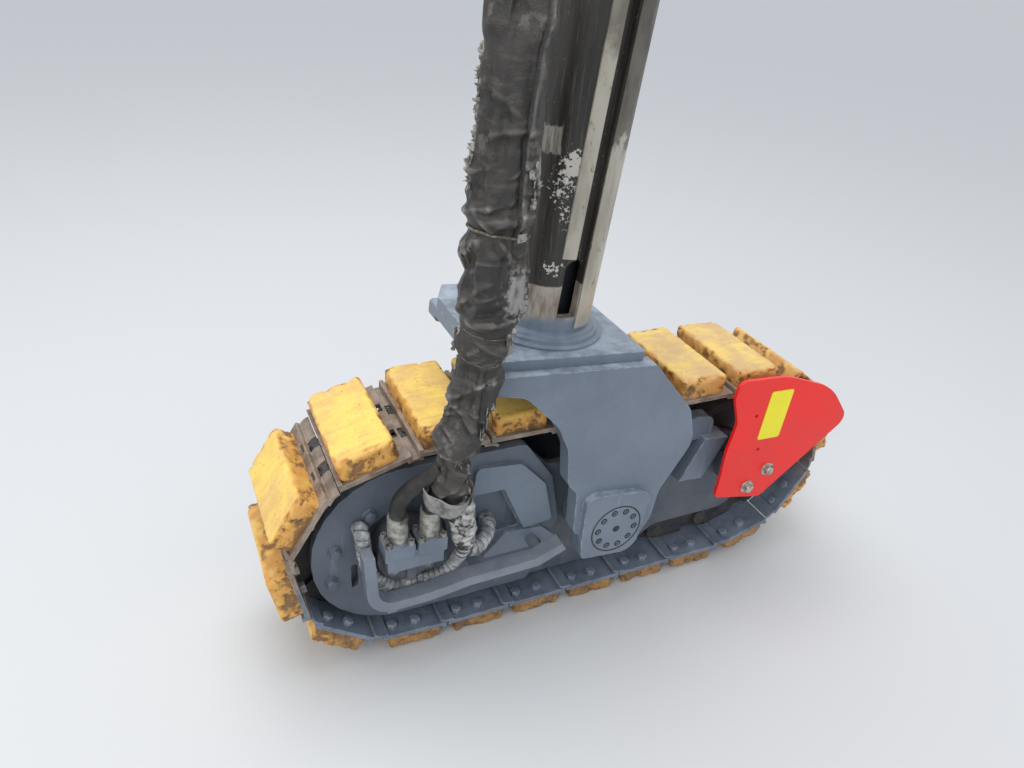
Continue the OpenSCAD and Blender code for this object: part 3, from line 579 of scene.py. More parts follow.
def padMaterial():
    mat, shader = newMaterial("padUrethane")
    placed = attributeNode("padPlace", "Vector")
    wear = attributeNode("padWear", "Fac")
    spot = axesOf(objectCoords())
    lines = cloudNode(vectorNode("MULTIPLY", placed, (9.0, 60.0, 30.0)), 1.0, 6.0, 0.66, 0.5)
    cloudy = cloudNode(placed, 17.0, 6.0, 0.6)
    specks = cloudNode(placed, 130.0, 3.0, 0.6)
    base = mixColour(rangeNode(cloudy, 0.34, 0.64), (222, 180, 104), (242, 205, 98))
    base = over(base, rangeNode(lines, 0.50, 0.70), (196, 156, 92), 0.42)
    base = over(base, rangeNode(lines, 0.44, 0.30), (250, 224, 146), 0.35)
    base = over(base, rangeNode(specks, 0.60, 0.70), (136, 100, 58), 0.45)
    # the pads towards the idler are duller
    dull = times(rangeNode(spot["X"], 0.0, 0.16), rangeNode(cloudy, 0.36, 0.64, 0.55, 0.25))
    base = over(base, dull, (190, 160, 124))
    dirt = times(wear, rangeNode(plus(cloudy, times(specks, 0.4)), 0.50, 0.82))
    base = over(base, rangeNode(wear, 0.15, 0.75), (204, 138, 60), 0.7)
    base = over(base, rangeNode(dirt, 0.42, 0.85), (104, 76, 52), 0.85)
    # the bottom run's pads are trodden brown
    trodden = rangeNode(plus(cloudy, times(specks, 0.5)), 0.50, 0.86, 0.45, 1.0)
    muddy = times(rangeNode(spot["Z"], 0.11, 0.045), trodden)
    base = over(base, muddy, (122, 94, 66), 0.82)
    bumps = plus(times(lines, 0.7), times(specks, 0.5))
    dress(shader, base, rangeNode(lines, 0.3, 0.7, 0.42, 0.68), bump(bumps, 0.55, 0.0016))
    return mat


pads = finishPiece("treadPads", makePads(), padMaterial(), "track", "pad_yellow", 48)
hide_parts("pads")
print("tread pads made:", len(pads.data.polygons), "faces")


def routePath(route, spacing):  # a rounded path through points in millimetres, evenly stepped
    pts = [Vector([c / 1000 for c in p[:3]]) for p in route]
    ends = [pts[0] * 2 - pts[1]] + pts + [pts[-1] * 2 - pts[-2]]
    path, parts = [], 16
    for i in range(1, len(ends) - 2):
        p0, p1, p2, p3 = ends[i - 1:i + 3]
        for k in range(parts):
            t = k / parts
            path.append(0.5 * ((2 * p1) + (p2 - p0) * t + (2 * p0 - 5 * p1 + 4 * p2 - p3) * t ** 2
                               + (3 * p1 - p0 - 3 * p2 + p3) * t ** 3))
    path.append(pts[-1])
    run = [0.0]
    for a, b in zip(path, path[1:]):
        run.append(run[-1] + (b - a).length)
    count = max(2, round(run[-1] / spacing))
    even, j = [], 0
    for k in range(count + 1):
        s = run[-1] * k / count
        while j < len(run) - 2 and run[j + 1] < s:
            j += 1
        even.append(path[j].lerp(path[j + 1], (s - run[j]) / max(run[j + 1] - run[j], 1e-9)))
    return even, run[-1]


def routeRadius(route, share):  # between the radii that a route's rows give
    radii = [row[3] / 1000 for row in route]
    at = share * (len(radii) - 1)
    i = min(int(at), len(radii) - 2)
    return radii[i] + (radii[i + 1] - radii[i]) * smooth(0, 1, at - i)


# a grid rolled round the path; its points keep (metres along, cos, sin) in "rolled"
def rolledTube(bm, path, sides, radiusAt, capped=True):
    count = len(path) - 1
    heads = [(path[min(i + 1, count)] - path[max(i - 1, 0)]).normalized() for i in range(count + 1)]
    flank = heads[0].cross(Vector((0.2, 0.97, 0.1))).normalized()
    flanks = []
    for h in heads:
        flank = (flank - h * flank.dot(h)).normalized()
        flanks.append(flank.copy())
    length = sum((b - a).length for a, b in zip(path, path[1:]))
    rolled = bm.verts.layers.float_vector.get("rolled") or bm.verts.layers.float_vector.new("rolled")
    made = bmesh.ops.create_grid(bm, x_segments=count, y_segments=sides, size=0.5)["verts"]
    for v in made:
        share, angle = v.co.x + 0.5, 2 * math.pi * (v.co.y + 0.5)
        i = round(share * count)
        c, s = math.cos(angle), math.sin(angle)
        v[rolled] = (length * share, c, s)
        outwards = flanks[i] * c + heads[i].cross(flanks[i]) * s
        v.co = path[i] + outwards * radiusAt(share, angle, length * share)
    bmesh.ops.remove_doubles(bm, verts=made, dist=1e-6)
    if capped:
        bmesh.ops.holes_fill(bm, edges=[e for e in bm.edges if e.is_boundary], sides=0)
    return length


wrapped = {
    "radius": 0.0140, "rise": 0.0030, "turnPitch": 0.0125, "sides": 24, "spacing": 0.0021,
    "left": [(-520, -95.4, 338), (-520, -108, 338), (-519, -116, 324), (-516, -119, 290), (-506, -119, 244),
             (-488, -119, 212), (-456, -120, 191), (-414, -120, 188), (-374, -121, 190), (-345, -123, 204),
             (-334, -124, 226), (-331, -140, 254), (-332, -154, 286), (-338, -161, 330), (-346, -166, 376),
             (-351, -171, 408), (-357, -175, 436)],
    "right": [(-314.2, -144, 262), (-304, -144, 260), (-290, -138, 262), (-272, -124, 268), (-259, -106, 275),
              (-256, -94, 276), (-256, -79.4, 276)],
    # where black tape is wound on the left hose, metres from its lower end
    "tapes": [(0.368, 0.376), (0.386, 0.395)],
}


def wrapMaterial(name, tapes):
    mat, shader = newMaterial(name)
    rolled = axesOf(attributeNode("rolled", "Vector"))
    turned = mathNode("DIVIDE", mathNode("ARCTAN2", rolled["Z"], rolled["Y"]), 2 * math.pi)
    phase = mathNode("FRACT", plus(mathNode("DIVIDE", rolled["X"], wrapped["turnPitch"]), turned), 0.0)
    patches = blotches(45.0, 0.36, 0.64)
    base = mixColour(patches, (128, 130, 131), (192, 194, 194))
    base = over(base, blotches(34.0, 0.52, 0.64), (84, 80, 74), 0.7)
    groove = mathNode("MAXIMUM", rangeNode(phase, 0.16, 0.02), rangeNode(phase, 0.95, 1.0))
    base = over(base, groove, (52, 50, 48), 0.78)
    for start, end in tapes:
        ragged = plus(rolled["X"], times(patches, 0.004))
        band = times(rangeNode(ragged, start, start + 0.002), rangeNode(ragged, end, end - 0.002))
        base = over(base, band, (46, 44, 42), 0.9)
    dress(shader, base, between(patches, 0.6, 0.42), bump(blotches(260.0, 0.3, 0.7), 0.4, 0.0008))
    return mat


def makeWrapped(name, route, replaced, tapes=()):
    path, _ = routePath(route, wrapped["spacing"])
    bm = bmesh.new()

    def radiusAt(share, angle, along):
        phase = (along / wrapped["turnPitch"] + angle / (2 * math.pi)) % 1.0
        lap = smooth(0.0, 0.22, phase) * (1 - 0.45 * phase) * smooth(1.0, 0.93, phase)
        uneven = noise.noise(Vector((along * 90, math.cos(angle), math.sin(angle))))
        return wrapped["radius"] + wrapped["rise"] * (lap - 0.5) + 0.0008 * uneven

    length = rolledTube(bm, path, wrapped["sides"], radiusAt)
    piece = finishPiece(name, bm, wrapMaterial(name + "Wrap", tapes), "track", "hose_wrap", 70)
    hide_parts(replaced)
    return piece, path, length


leftHose, leftPath, leftLength = makeWrapped("wrappedHoseLeft", wrapped["left"], "wrapped_hose_left",
                                             wrapped["tapes"])
[tuple(p) for p in leftPath]
makeWrapped("wrappedHoseRight", wrapped["right"], "wrapped_hose_right")
print("wrapped hoses made, the left one", round(leftLength, 3), "m long")

plainHoses = {
    "radius": 0.0150, "sides": 24, "spacing": 0.004,
    "routes": [
        [(-463.2, -150, 392.3), (-463.2, -150, 405), (-460, -151, 424), (-449, -155, 444), (-434, -163, 463),
         (-412, -173, 484), (-394, -183, 505)],
        [(-401.2, -150, 392.3), (-401.2, -150, 400), (-400, -152, 409), (-397, -160, 428),
         (-393, -168, 450)]],
}
bm = bmesh.new()
for route in plainHoses["routes"]:
    path, _ = routePath(route, plainHoses["spacing"])
    rolledTube(bm, path, plainHoses["sides"], lambda share, angle, along: plainHoses["radius"])
pressureHoses = finishPiece("pressureHoses", bm, materials["blackRubber"], "track", "hose_black", 60)
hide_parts("hoses")

sleeve = {
    # centre and radius, millimetres
    "route": [(-382, -176, 440, 37), (-380, -183, 470, 41), (-379, -188, 515, 45), (-373, -191, 570, 49),
              (-356, -191, 640, 54), (-340, -191, 740, 59), (-328, -190, 860, 60), (-322, -183, 970, 55),
              (-318, -176, 1080, 55), (-311, -170, 1180, 55), (-305, -165, 1260, 54), (-299, -160, 1340, 52),
              (-294, -155, 1420, 48)],
    # ties [metres up the sleeve, how far each pulls the cloth in, radians that the cloth is twisted there]
    "ties": [(0.004, 0.003, 0.0), (0.100, 0.011, 0.35), (0.285, 0.012, -0.25), (0.335, 0.009, 0.1),
             (0.495, 0.012, 0.45), (0.740, 0.003, 0.25), (0.990, 0.003, 0.0)],
    "tieWidth": 0.016,
    # spare length of the cut cloth [metres up, cut size over the hung one]
    "spare": [(0.0, 1.05), (0.10, 1.16), (0.30, 1.26), (0.50, 1.20), (0.62, 1.07), (1.1, 1.04)],
    "sides": 72, "spacing": 0.0060, "frames": 26, "farthest": 0.017, "thickness": 0.0016,
    "hosesInside": 0.028,
    "seam": {"angle": 2.02, "from": 0.44, "rise": 0.0042, "width": 0.26},
    # creases [from and to metres up, how many, height, width, how far round, slant]
    "creases": [(0.02, 0.36, 28, 0.0070, 0.0096, 2.1, 0.034), (0.02, 0.40, 34, 0.0030, 0.0042, 1.1, 0.030),
                (0.36, 0.56, 13, 0.0072, 0.0105, 1.9, 0.050), (0.40, 0.62, 18, 0.0028, 0.0045, 1.0, 0.040),
                (0.54, 0.70, 9, 0.0052, 0.0110, 1.9, 0.040), (0.66, 1.02, 14, 0.0032, 0.0110, 1.6, 0.055)],
    "creaseReach": 0.07, "highestCrease": 0.009,
    # pale worn places [centre, half sizes, strength]
    "pale": [((-0.302, -0.232, 0.842), (0.050, 0.050, 0.066), 1.0),
             ((-0.296, -0.228, 0.742), (0.030, 0.040, 0.024), 0.95),
             ((-0.314, -0.228, 0.622), (0.024, 0.036, 0.030), 0.95),
             ((-0.276, -0.212, 1.020), (0.030, 0.034, 0.040), 0.8),
             ((-0.372, -0.205, 1.070), (0.014, 0.034, 0.095), 0.8),
             ((-0.340, -0.238, 0.690), (0.034, 0.024, 0.016), 0.7)],
}


def sleeveMaterial():
    mat, shader = newMaterial("sleeveCloth")
    coords = objectCoords()
    crest = attributeNode("sleeveCrest", "Fac")
    rubbed = blotches(46.0, 0.48, 0.70, (0.5, 0.5, 1.7))
    torn = blotches(70.0, 0.42, 0.58)
    base = mixColour(blotches(11.0, 0.35, 0.68), (24, 23, 21), (50, 46, 43))
    base = over(base, rubbed, (96, 89, 82), 0.42)
    base = over(base, rangeNode(axesOf(coords)["Z"], 0.86, 0.62), (124, 120, 114), 0.08)
    base = over(base, blotches(26.0, 0.60, 0.66), (124, 118, 110), 0.35)
    # fold crests lighter: rubbed cloth, and a painted highlight on the crests
    base = over(base, rangeNode(crest, 0.12, 0.60), (126, 121, 114), 0.38)
    # silver on the highest torn crests: the cloth's silver showing through, and partly a painted highlight
    base = over(base, times(rangeNode(crest, 0.50, 1.05), torn), (164, 162, 158), 0.7)
    # painted shade: the hollows between the folds are darkened
    base = over(base, rangeNode(crest, -0.12, -0.60), (20, 18, 17), 0.6)
    for centre, reach, strength in sleeve["pale"]:
        near = times(nearPoint(coords, centre, reach, 0.1), strength)
        base = over(base, rangeNode(plus(near, times(torn, 0.4)), 0.45, 0.95), (140, 138, 133))
    crinkled = cloudNode(coords, 24.0, 5.0, 0.55, 0.6, noise_type="RIDGED_MULTIFRACTAL")
    weave = plus(times(blotches(85.0, 0.25, 0.75), 0.5), times(blotches(420.0, 0.3, 0.7), 0.2))
    dress(shader, base, between(rubbed, 0.40, 0.58), bump(plus(weave, times(crinkled, 0.9)), 0.6, 0.0032))
    return mat


def sleevePull(along):
    return sum(t[1] * math.exp(-((along - t[0]) / sleeve["tieWidth"]) ** 2) for t in sleeve["ties"])


def stepped(table, along, column):  # a smooth value between the rows of a table
    for a, b in zip(table, table[1:]):
        if along <= b[0]:
            return a[column] + (b[column] - a[column]) * smooth(a[0], b[0], along)
    return table[-1][column]


def sleeveBlank():  # the sleeve's tube before it sags
    path, length = routePath(sleeve["route"], sleeve["spacing"])
    bm = bmesh.new()

    def radiusAt(share, angle, along):
        around = Vector((math.cos(angle), math.sin(angle), 0))
        slow = noise.noise(around * 0.9 + Vector((0, 0, along * 9)))
        creased = noise.noise(around * 1.1 + Vector((0, 0, along * 30 + around.x * 0.7)))
        held = routeRadius(sleeve["route"], share) - 0.006 - sleevePull(along)
        return held + 0.006 * slow + 0.0035 * creased

    rolledTube(bm, path, sleeve["sides"], radiusAt, capped=False)
    return bm, path


def cutPlaces(rolled, length):  # where each point lies in the cloth as it was cut
    steps, heights = 400, [0.0]
    for k in range(steps):
        heights.append(heights[-1] + length / steps * stepped(sleeve["spare"], length * k / steps, 1))
    for along, cosine, sine in rolled:
        share = min(along / length, 1.0)
        k = min(int(share * steps), steps - 1)
        angle = math.atan2(sine, cosine) + stepped(sleeve["ties"], along, 2)
        r = routeRadius(sleeve["route"], share) - 0.005 - 0.9 * sleevePull(along)
        up = heights[k] + (heights[k + 1] - heights[k]) * (share * steps - k)
        yield r * math.cos(angle), r * math.sin(angle), up


def evaluatedMesh(piece):
    return bpy.data.meshes.new_from_object(piece.evaluated_get(bpy.context.evaluated_depsgraph_get()))


def hangCloth(piece, core):  # the longer cloth crumples between its ties
    rolled = [tuple(v.vector) for v in piece.data.attributes["rolled"].data]
    piece.shape_key_add(name="hung")
    cut = piece.shape_key_add(name="cut")
    for point, at in zip(cut.data, cutPlaces(rolled, max(r[0] for r in rolled))):
        point.co = at
    pinned = piece.vertex_groups.new(name="ties")
    tied = [i for i, r in enumerate(rolled) if min(abs(r[0] - t[0]) for t in sleeve["ties"]) < 0.0034]
    pinned.add(tied, 1.0, "REPLACE")
    core.modifiers.new("touch", "COLLISION")
    core.collision.thickness_outer = 0.002
    drape = piece.modifiers.new("drape", "CLOTH")
    cloth = drape.settings
    cloth.quality, cloth.mass, cloth.air_damping = 6, 0.25, 2.0
    cloth.tension_stiffness = cloth.compression_stiffness = 20
    cloth.shear_stiffness, cloth.bending_stiffness = 8, 0.9
    cloth.vertex_group_mass = "ties"
    cloth.rest_shape_key = cut
    cloth.effector_weights.gravity = 0.8
    drape.collision_settings.distance_min = 0.002
    drape.point_cache.frame_start, drape.point_cache.frame_end = 1, sleeve["frames"]
    for number in range(1, sleeve["frames"] + 1):
        bpy.context.scene.frame_set(number)
    hung = evaluatedMesh(piece)
    for v, before in zip(hung.vertices, piece.data.vertices):
        step = v.co - before.co
        v.co = before.co + step * min(1.0, sleeve["farthest"] / max(step.length, 1e-9))
    piece.modifiers.clear()
    piece.vertex_groups.clear()
    piece.shape_key_clear()
    piece.data = hung
    bpy.context.scene.frame_set(1)


def refine(piece):  # twice the points, for the creases
    finer = piece.modifiers.new("finer", "SUBSURF")
    finer.levels = finer.render_levels = 1
    mesh = evaluatedMesh(piece)
    piece.modifiers.clear()
    piece.data = mesh


def liftPoints(mesh, liftAt):  # along their normals
    lifts = []
    for v, r in zip(mesh.vertices, mesh.attributes["rolled"].data):
        along, cosine, sine = r.vector
        lifts.append(v.normal * liftAt(along, math.atan2(sine, cosine)))
    for v, lift in zip(mesh.vertices, lifts):
        v.co += lift


def roundPast(angle):  # an angle from half a turn back to half a turn on
    return (angle + math.pi) % (2 * math.pi) - math.pi


def creaseCloth(mesh):  # sharp folds, each a ridge over a hollow, that run part of the way round
    rng = random.Random(7)
    folds = []
    for low, high, count, rise, width, arc, slant in sleeve["creases"]:
        for _ in range(count):
            folds.append((
                rng.uniform(low, high), rng.uniform(-math.pi, math.pi), arc * rng.uniform(0.5, 1.0),
                slant * rng.uniform(-1, 1), rng.uniform(-0.008, 0.008), rise * rng.uniform(0.4, 1.0),
                width * rng.uniform(0.7, 1.3)))
    folds.sort()

    def liftAt(along, angle):
        total = 0.0
        for up, centre, arc, slant, bow, rise, width in folds:
            if up > along + sleeve["creaseReach"]:
                break
            past = roundPast(angle - centre)
            if up < along - sleeve["creaseReach"] or abs(past) >= arc:
                continue
            d = (along - up - slant * past - bow * past * past) / width
            if abs(d) < 3.5:
                ridge = math.exp(-abs(d) ** 1.4) - 0.7 * math.exp(-((d + 1.5) ** 2))
                total += rise * (1 - (past / arc) ** 2) * ridge
        free = min(1.0, min(abs(along - t[0]) for t in sleeve["ties"]) / 0.010)
        return max(-sleeve["highestCrease"], min(sleeve["highestCrease"], total)) * free

    liftPoints(mesh, liftAt)


def foldSeam(mesh):  # one edge of the sewn cloth lies on the other
    seam = sleeve["seam"]

    def liftAt(along, angle):
        past = roundPast(angle - seam["angle"] - 0.10 * math.sin(along * 9))
        flap = smooth(0.0, 0.05, past) * smooth(seam["width"] * 1.6, seam["width"] * 0.4, past)
        groove = math.exp(-((past + 0.06) / 0.05) ** 2)
        return seam["rise"] * (flap - 0.45 * groove) * smooth(seam["from"], seam["from"] + 0.08, along)

    liftPoints(mesh, liftAt)


def markCrests(mesh):  # how far each point stands above those round it, for the rubbed folds, the painted highlight on the crests and the painted shade in the hollows
    crest = mesh.attributes.new("sleeveCrest", "FLOAT", "POINT")
    bm = bmesh.new()
    bm.from_mesh(mesh)
    bm.normal_update()
    heights = []
    for v in bm.verts:
        around = [e.other_vert(v).co for e in v.link_edges]
        heights.append((v.co - sum(around, Vector()) / len(around)).dot(v.normal) * 1400)
    for v in bm.verts:
        near = [heights[e.other_vert(v).index] for e in v.link_edges]
        crest.data[v.index].value = (heights[v.index] + sum(near)) / (1 + len(near))
    bm.free()


bm, sleevePath = sleeveBlank()
bmesh.ops.recalc_face_normals(bm, faces=bm.faces)
hoseSleeve = addObject("hoseSleeve", meshOf(bm, "hoseSleeve"))
bm = bmesh.new()
rolledTube(bm, sleevePath[::3] + [sleevePath[-1]], 28,
           lambda share, angle, along: routeRadius(sleeve["route"], share) - sleeve["hosesInside"])
bmesh.ops.recalc_face_normals(bm, faces=bm.faces)
core = addObject("hoseBundle", meshOf(bm, "hoseBundle"))
hangCloth(hoseSleeve, core)
coreMesh = core.data
bpy.data.objects.remove(core)
bpy.data.meshes.remove(coreMesh)
refine(hoseSleeve)
creaseCloth(hoseSleeve.data)
foldSeam(hoseSleeve.data)
markCrests(hoseSleeve.data)
hoseSleeve.data.materials.clear()
hoseSleeve.data.materials.append(sleeveMaterial())
hoseSleeve.data.polygons.foreach_set("use_smooth", [True] * len(hoseSleeve.data.polygons))
addWall(hoseSleeve, sleeve["thickness"])
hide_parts("hose_sleeve")
sleeveBend = ("track", "column", (-0.36, -0.19, 0.60), (-0.33, -0.185, 0.95))
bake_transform(hoseSleeve)
print("hose sleeve made:", len(hoseSleeve.data.polygons), "faces")

sleeveSpots = {}
for v, r in zip(hoseSleeve.data.vertices, hoseSleeve.data.attributes["rolled"].data):
    spots = sleeveSpots.setdefault(round(r.vector[0] / 0.01), [])
    spots.append((tuple(r.vector), v.co.copy(), v.normal.copy()))


def onSleeve(along, angle):  # the cloth's point and outward direction there
    c, s = math.cos(angle), math.sin(angle)
    level = round(along / 0.01)
    spots = [p for k in (-1, 0, 1) for p in sleeveSpots.get(level + k, [])]

    def away(spot):
        up, cosine, sine = spot[0]
        return (up - along) ** 2 + 0.0025 * ((cosine - c) ** 2 + (sine - s) ** 2)

    return min(spots, key=away)[1:]


strings = {
    # [metres up the sleeve, string radius, turns, how far its line tips, whether it is knotted in front]
    "rounds": [(0.1005, 0.0011, 2, 0.004, True), (0.287, 0.0009, 2, 0.003, False),
               (0.336, 0.0009, 1, 0.004, False), (0.4955, 0.0021, 1, 0.005, False)],
    "knotAngle": 1.55, "points": 40,
}


def makeStrings():
    bm = bmesh.new()
    points = strings["points"]
    for up, thick, turns, tip, knotted in strings["rounds"]:
        for turn in range(turns):
            ring = []
            for k in range(points):
                angle = 2 * math.pi * k / points
                at, out = onSleeve(up + tip * math.cos(angle + turn) + 0.003 * turn, angle)
                ring.append(at + out * (0.0004 + thick))
            eased = [(ring[k - 1] + ring[k] * 2 + ring[(k + 1) % points]) / 4 for k in range(points)]
            rolledTube(bm, eased + [eased[0]], 8, lambda share, angle, along: thick, capped=False)
        if not knotted:
            continue
        knot, out = onSleeve(up, strings["knotAngle"])
        bmesh.ops.create_icosphere(bm, subdivisions=2, radius=thick * 2.4,
                                   matrix=place(knot + out * thick * 1.5, out))
        for side in (-1, 1):  # the knot's two free ends
            start = knot + out * thick * 2
            across = out.cross(Vector((0, 0, 1))).normalized() * side
            steps = ((0, 0, 0), (0.004, 0.003, 0), (0.005, 0.006, 0.004), (0.004, 0.007, 0.010))
            end = [start + out * o + across * a - Vector((0, 0, down)) for o, a, down in steps]
            rolledTube(bm, end, 8, lambda share, angle, along: thick * 0.9)
    return bm


finishPiece("sleeveStrings", makeStrings(), materials["stringCloth"], sleeveBend, "sleeve_black", 60)

buckle = {"up": 0.4955, "angle": 2.05, "size": (0.016, 0.013, 0.0032), "proud": 0.0045,
          "round": 0.0009, "border": 0.0025, "hollow": 0.0018}
at, out = onSleeve(buckle["up"], buckle["angle"])
bm = bmesh.new()
turn = place(at + out * buckle["proud"], out)
addBox(bm, turn, buckle["size"])
bevelEdges(bm, bm.edges[:], buckle["round"], 2)
face = max(bm.faces, key=lambda f: f.calc_center_median().dot(out))
sinkFace(bm, face, buckle["border"], -out * buckle["hollow"])
finishPiece("sleeveBuckle", bm, materials["ferruleZinc"], sleeveBend, "bare_metal")

frays = {
    # torn edges that stand off the cloth [from and to metres up, angle, how many, longest]
    "rows": [(0.560, 0.745, -0.10, 26, 0.014), (0.30, 0.42, 2.45, 9, 0.012), (0.15, 0.22, 2.35, 8, 0.012),
             (0.02, 0.09, 2.4, 5, 0.009), (0.54, 0.60, 2.25, 8, 0.012), (0.24, 0.34, -0.1, 6, 0.010)],
    "thickness": 0.0009, "widths": (0.010, 0.024),
}


def makeFrays():
    rng = random.Random(21)
    bm = bmesh.new()
    for low, high, angle, count, longest in frays["rows"]:
        for k in range(count):
            up = low + (high - low) * (k + rng.random()) / count
            at, out = onSleeve(up, angle + rng.uniform(-0.18, 0.18))
            lift = Vector((0.05, 0.03, 1)).normalized()
            lean = out + lift.cross(out) * rng.uniform(-0.9, 0.9) + lift * rng.uniform(-0.5, 0.5)
            lean.normalize()
            wide, long = rng.uniform(*frays["widths"]), longest * rng.uniform(0.45, 1.0)
            curl = rng.uniform(-0.9, 0.9)
            edges = [rng.uniform(0.45, 1.0) for _ in range(6)]
            for v in bmesh.ops.create_grid(bm, x_segments=5, y_segments=3, size=0.5)["verts"]:
                across, reach = v.co.x, v.co.y + 0.5
                reach *= edges[round((across + 0.5) * 5)]
                v.co = at - out * 0.001 + lift * across * wide * (1 - 0.25 * reach) + lean * reach * long \
                    + lift.cross(lean) * curl * reach * reach * long
    return bm


sleeveFrays = finishPiece("sleeveFrays", makeFrays(), materials["tornCloth"], sleeveBend, "sleeve_black", 60,
                          normals=False)
addWall(sleeveFrays, frays["thickness"])


def crumple(angle, along, waves):  # waves [shift, how fine round, how fine along, depth]
    around = Vector((math.cos(angle), math.sin(angle), 0))
    return sum(depth * noise.noise(around * fine + Vector((*shift, along * rate)))
               for shift, fine, rate, depth in waves)


cuff = {
    "route": [(-382, -171, 428, 42), (-382, -173, 435, 41), (-382, -175, 444, 41.5), (-382, -178, 454, 43),
              (-381, -180, 463, 45)],
    "spacing": 0.0030, "sides": 84, "thickness": 0.0018,
    "crumple": [((0, 0), 1.6, 60, 0.0040), ((0, 0), 4, 130, 0.0020)],
    "rims": [(1.3, 4.0, 0.007), (4, 9.0, 0.003)],  # how the rims wave up and down [how fine, seed, height]
}


def makeCuff():
    path, length = routePath(cuff["route"], cuff["spacing"])
    bm = bmesh.new()
    rolledTube(bm, path, cuff["sides"], lambda share, angle, along: routeRadius(cuff["route"], share)
               + crumple(angle, along, cuff["crumple"]), capped=False)
    rolled = bm.verts.layers.float_vector["rolled"]
    for v in bm.verts:
        along, c, s = v[rolled]
        wave = sum(high * noise.noise(Vector((c * fine, s * fine, seed)))
                   for fine, seed, high in cuff["rims"])
        v.co.z += wave * (along / length if along > length / 2 else 0.7 * (1 - along / length))
    return bm


sleeveCuff = finishPiece("sleeveCuff", makeCuff(), materials["silverCloth"], "track", "sleeve_black", 70)
addWall(sleeveCuff, cuff["thickness"])
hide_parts("hose_sleeve")

rag = {
    "route": [(-333, -156, 296, 16.5), (-335, -158, 306, 19), (-338, -161, 330, 20.5), (-342, -163, 353, 22),
              (-346, -166, 376, 22.5), (-350, -169, 398, 23), (-354, -172, 418, 21)],
    "spacing": 0.0024, "sides": 60, "thickness": 0.0012, "woundRise": 0.0026, "woundPitch": 0.016,
    "crumple": [((3, 0), 1.1, 55, 0.0042), ((0, 5), 3, 120, 0.0022)],
}


def ragRadius(share, angle, along):
    wound = rag["woundRise"] * math.sin(along / rag["woundPitch"] * 2 * math.pi + angle)
    return routeRadius(rag["route"], share) + crumple(angle, along, rag["crumple"]) + wound


path, _ = routePath(rag["route"], rag["spacing"])
bm = bmesh.new()
rolledTube(bm, path, rag["sides"], ragRadius, capped=False)
hoseRag = finishPiece("hoseRag", bm, materials["ragCloth"], "track", "hose_wrap", 70)
addWall(hoseRag, rag["thickness"])
print("strings, buckle, torn edges, cuff and rag made")


def addDisc(bm, at, radius, height, segments=24, top=None, level=0.0):
    return bmesh.ops.create_cone(
        bm, cap_ends=True, segments=segments, radius1=radius, radius2=top or radius, depth=height,
        matrix=at @ Matrix.Translation((0, 0, level + height / 2)))["verts"]


def atLevel(verts, at, level):  # those that stand at this height over the matrix
    back = at.inverted()
    return {v for v in verts if abs((back @ v.co).z - level) < 1e-6}


def bevelTop(bm, verts, at, level, offset, segments):
    upper = atLevel(verts, at, level)
    rim = {e for v in upper for e in v.link_edges if e.other_vert(v) in upper}
    bevelEdges(bm, list(rim), offset, segments)


def addHex(bm, at, across, height, washer=0.0, thick=0.0025):
    base = 0.0
    if washer:
        bevelTop(bm, addDisc(bm, at, washer, thick, 28), at, thick, thick * 0.3, 1)
        base = thick
    corner = across / math.sqrt(3)
    bevelTop(bm, addDisc(bm, at, corner, height, 6, level=base), at, base + height, corner * 0.14, 2)


def addSocket(bm, at, radius, height):
    head = addDisc(bm, at, radius, height)
    upper = atLevel(head, at, height)
    cap = next(f for v in head for f in v.link_faces if upper.issuperset(f.verts))
    sinkFace(bm, cap, radius * 0.42, at.to_3x3() @ Vector((0, 0, -0.6 * height)))


yoke = {"lean": math.radians(4.5), "pinHeight": 0.252, "pinFace": 0.180}


def onYoke(x, y, z):  # a point of the leaning yoke, measured from the swing pin
    c, s = math.cos(yoke["lean"]), math.sin(yoke["lean"])
    return x * c + z * s, y, yoke["pinHeight"] - x * s + z * c


hexBolts = {  # [x, z] of each bolt on a face that looks out
    "coverBolts": {"at": [(-0.566, 0.287), (-0.574, 0.214), (-0.500, 0.361), (-0.437, 0.385)], "face": -0.095,
                   "washer": 0.0135, "material": "coverPaint", "slot": "steel_blue"},
    "guardBolts": {"at": [(0.395, 0.305), (0.349, 0.266)], "face": -0.168,
                   "washer": 0.0165, "material": "zincBolt", "slot": "bare_metal"},
    "across": 0.019, "height": 0.010,
}


def makeBolts(name):
    row = hexBolts[name]
    bm = bmesh.new()
    for x, z in row["at"]:
        at = place((x, row["face"], z), (0, -1, 0))
        addHex(bm, at, hexBolts["across"], hexBolts["height"], row["washer"])
    finishPiece(name, bm, materials[row["material"]], "track", row["slot"])


makeBolts("coverBolts")

motorScrews = {
    "axis": (-0.43221, 0.2718), "face": -0.138, "circle": 0.037, "angles": (-30, -150),
    "radius": 0.0068, "height": 0.008,
    "portApart": 0.031, "portTop": 0.334, "portX": (-0.0215, 0.0215), "portY": (-0.1665, -0.1345),
    "portRadius": 0.0058, "portHeight": 0.009,
}
bm = bmesh.new()
driveX, driveZ = motorScrews["axis"]
for x in (driveX - motorScrews["portApart"], driveX + motorScrews["portApart"]):
    for dx in motorScrews["portX"]:
        for y in motorScrews["portY"]:
            at = place((x + dx, y, motorScrews["portTop"]))
            addSocket(bm, at, motorScrews["portRadius"], motorScrews["portHeight"])
for angle in motorScrews["angles"]:
    c, s = math.cos(math.radians(angle)), math.sin(math.radians(angle))
    at = (driveX + motorScrews["circle"] * c, motorScrews["face"], driveZ + motorScrews["circle"] * s)
    addSocket(bm, place(at, (0, -1, 0)), motorScrews["radius"], motorScrews["height"])
finishPiece("portScrews", bm, materials["ferruleZinc"], "track", "bare_metal")

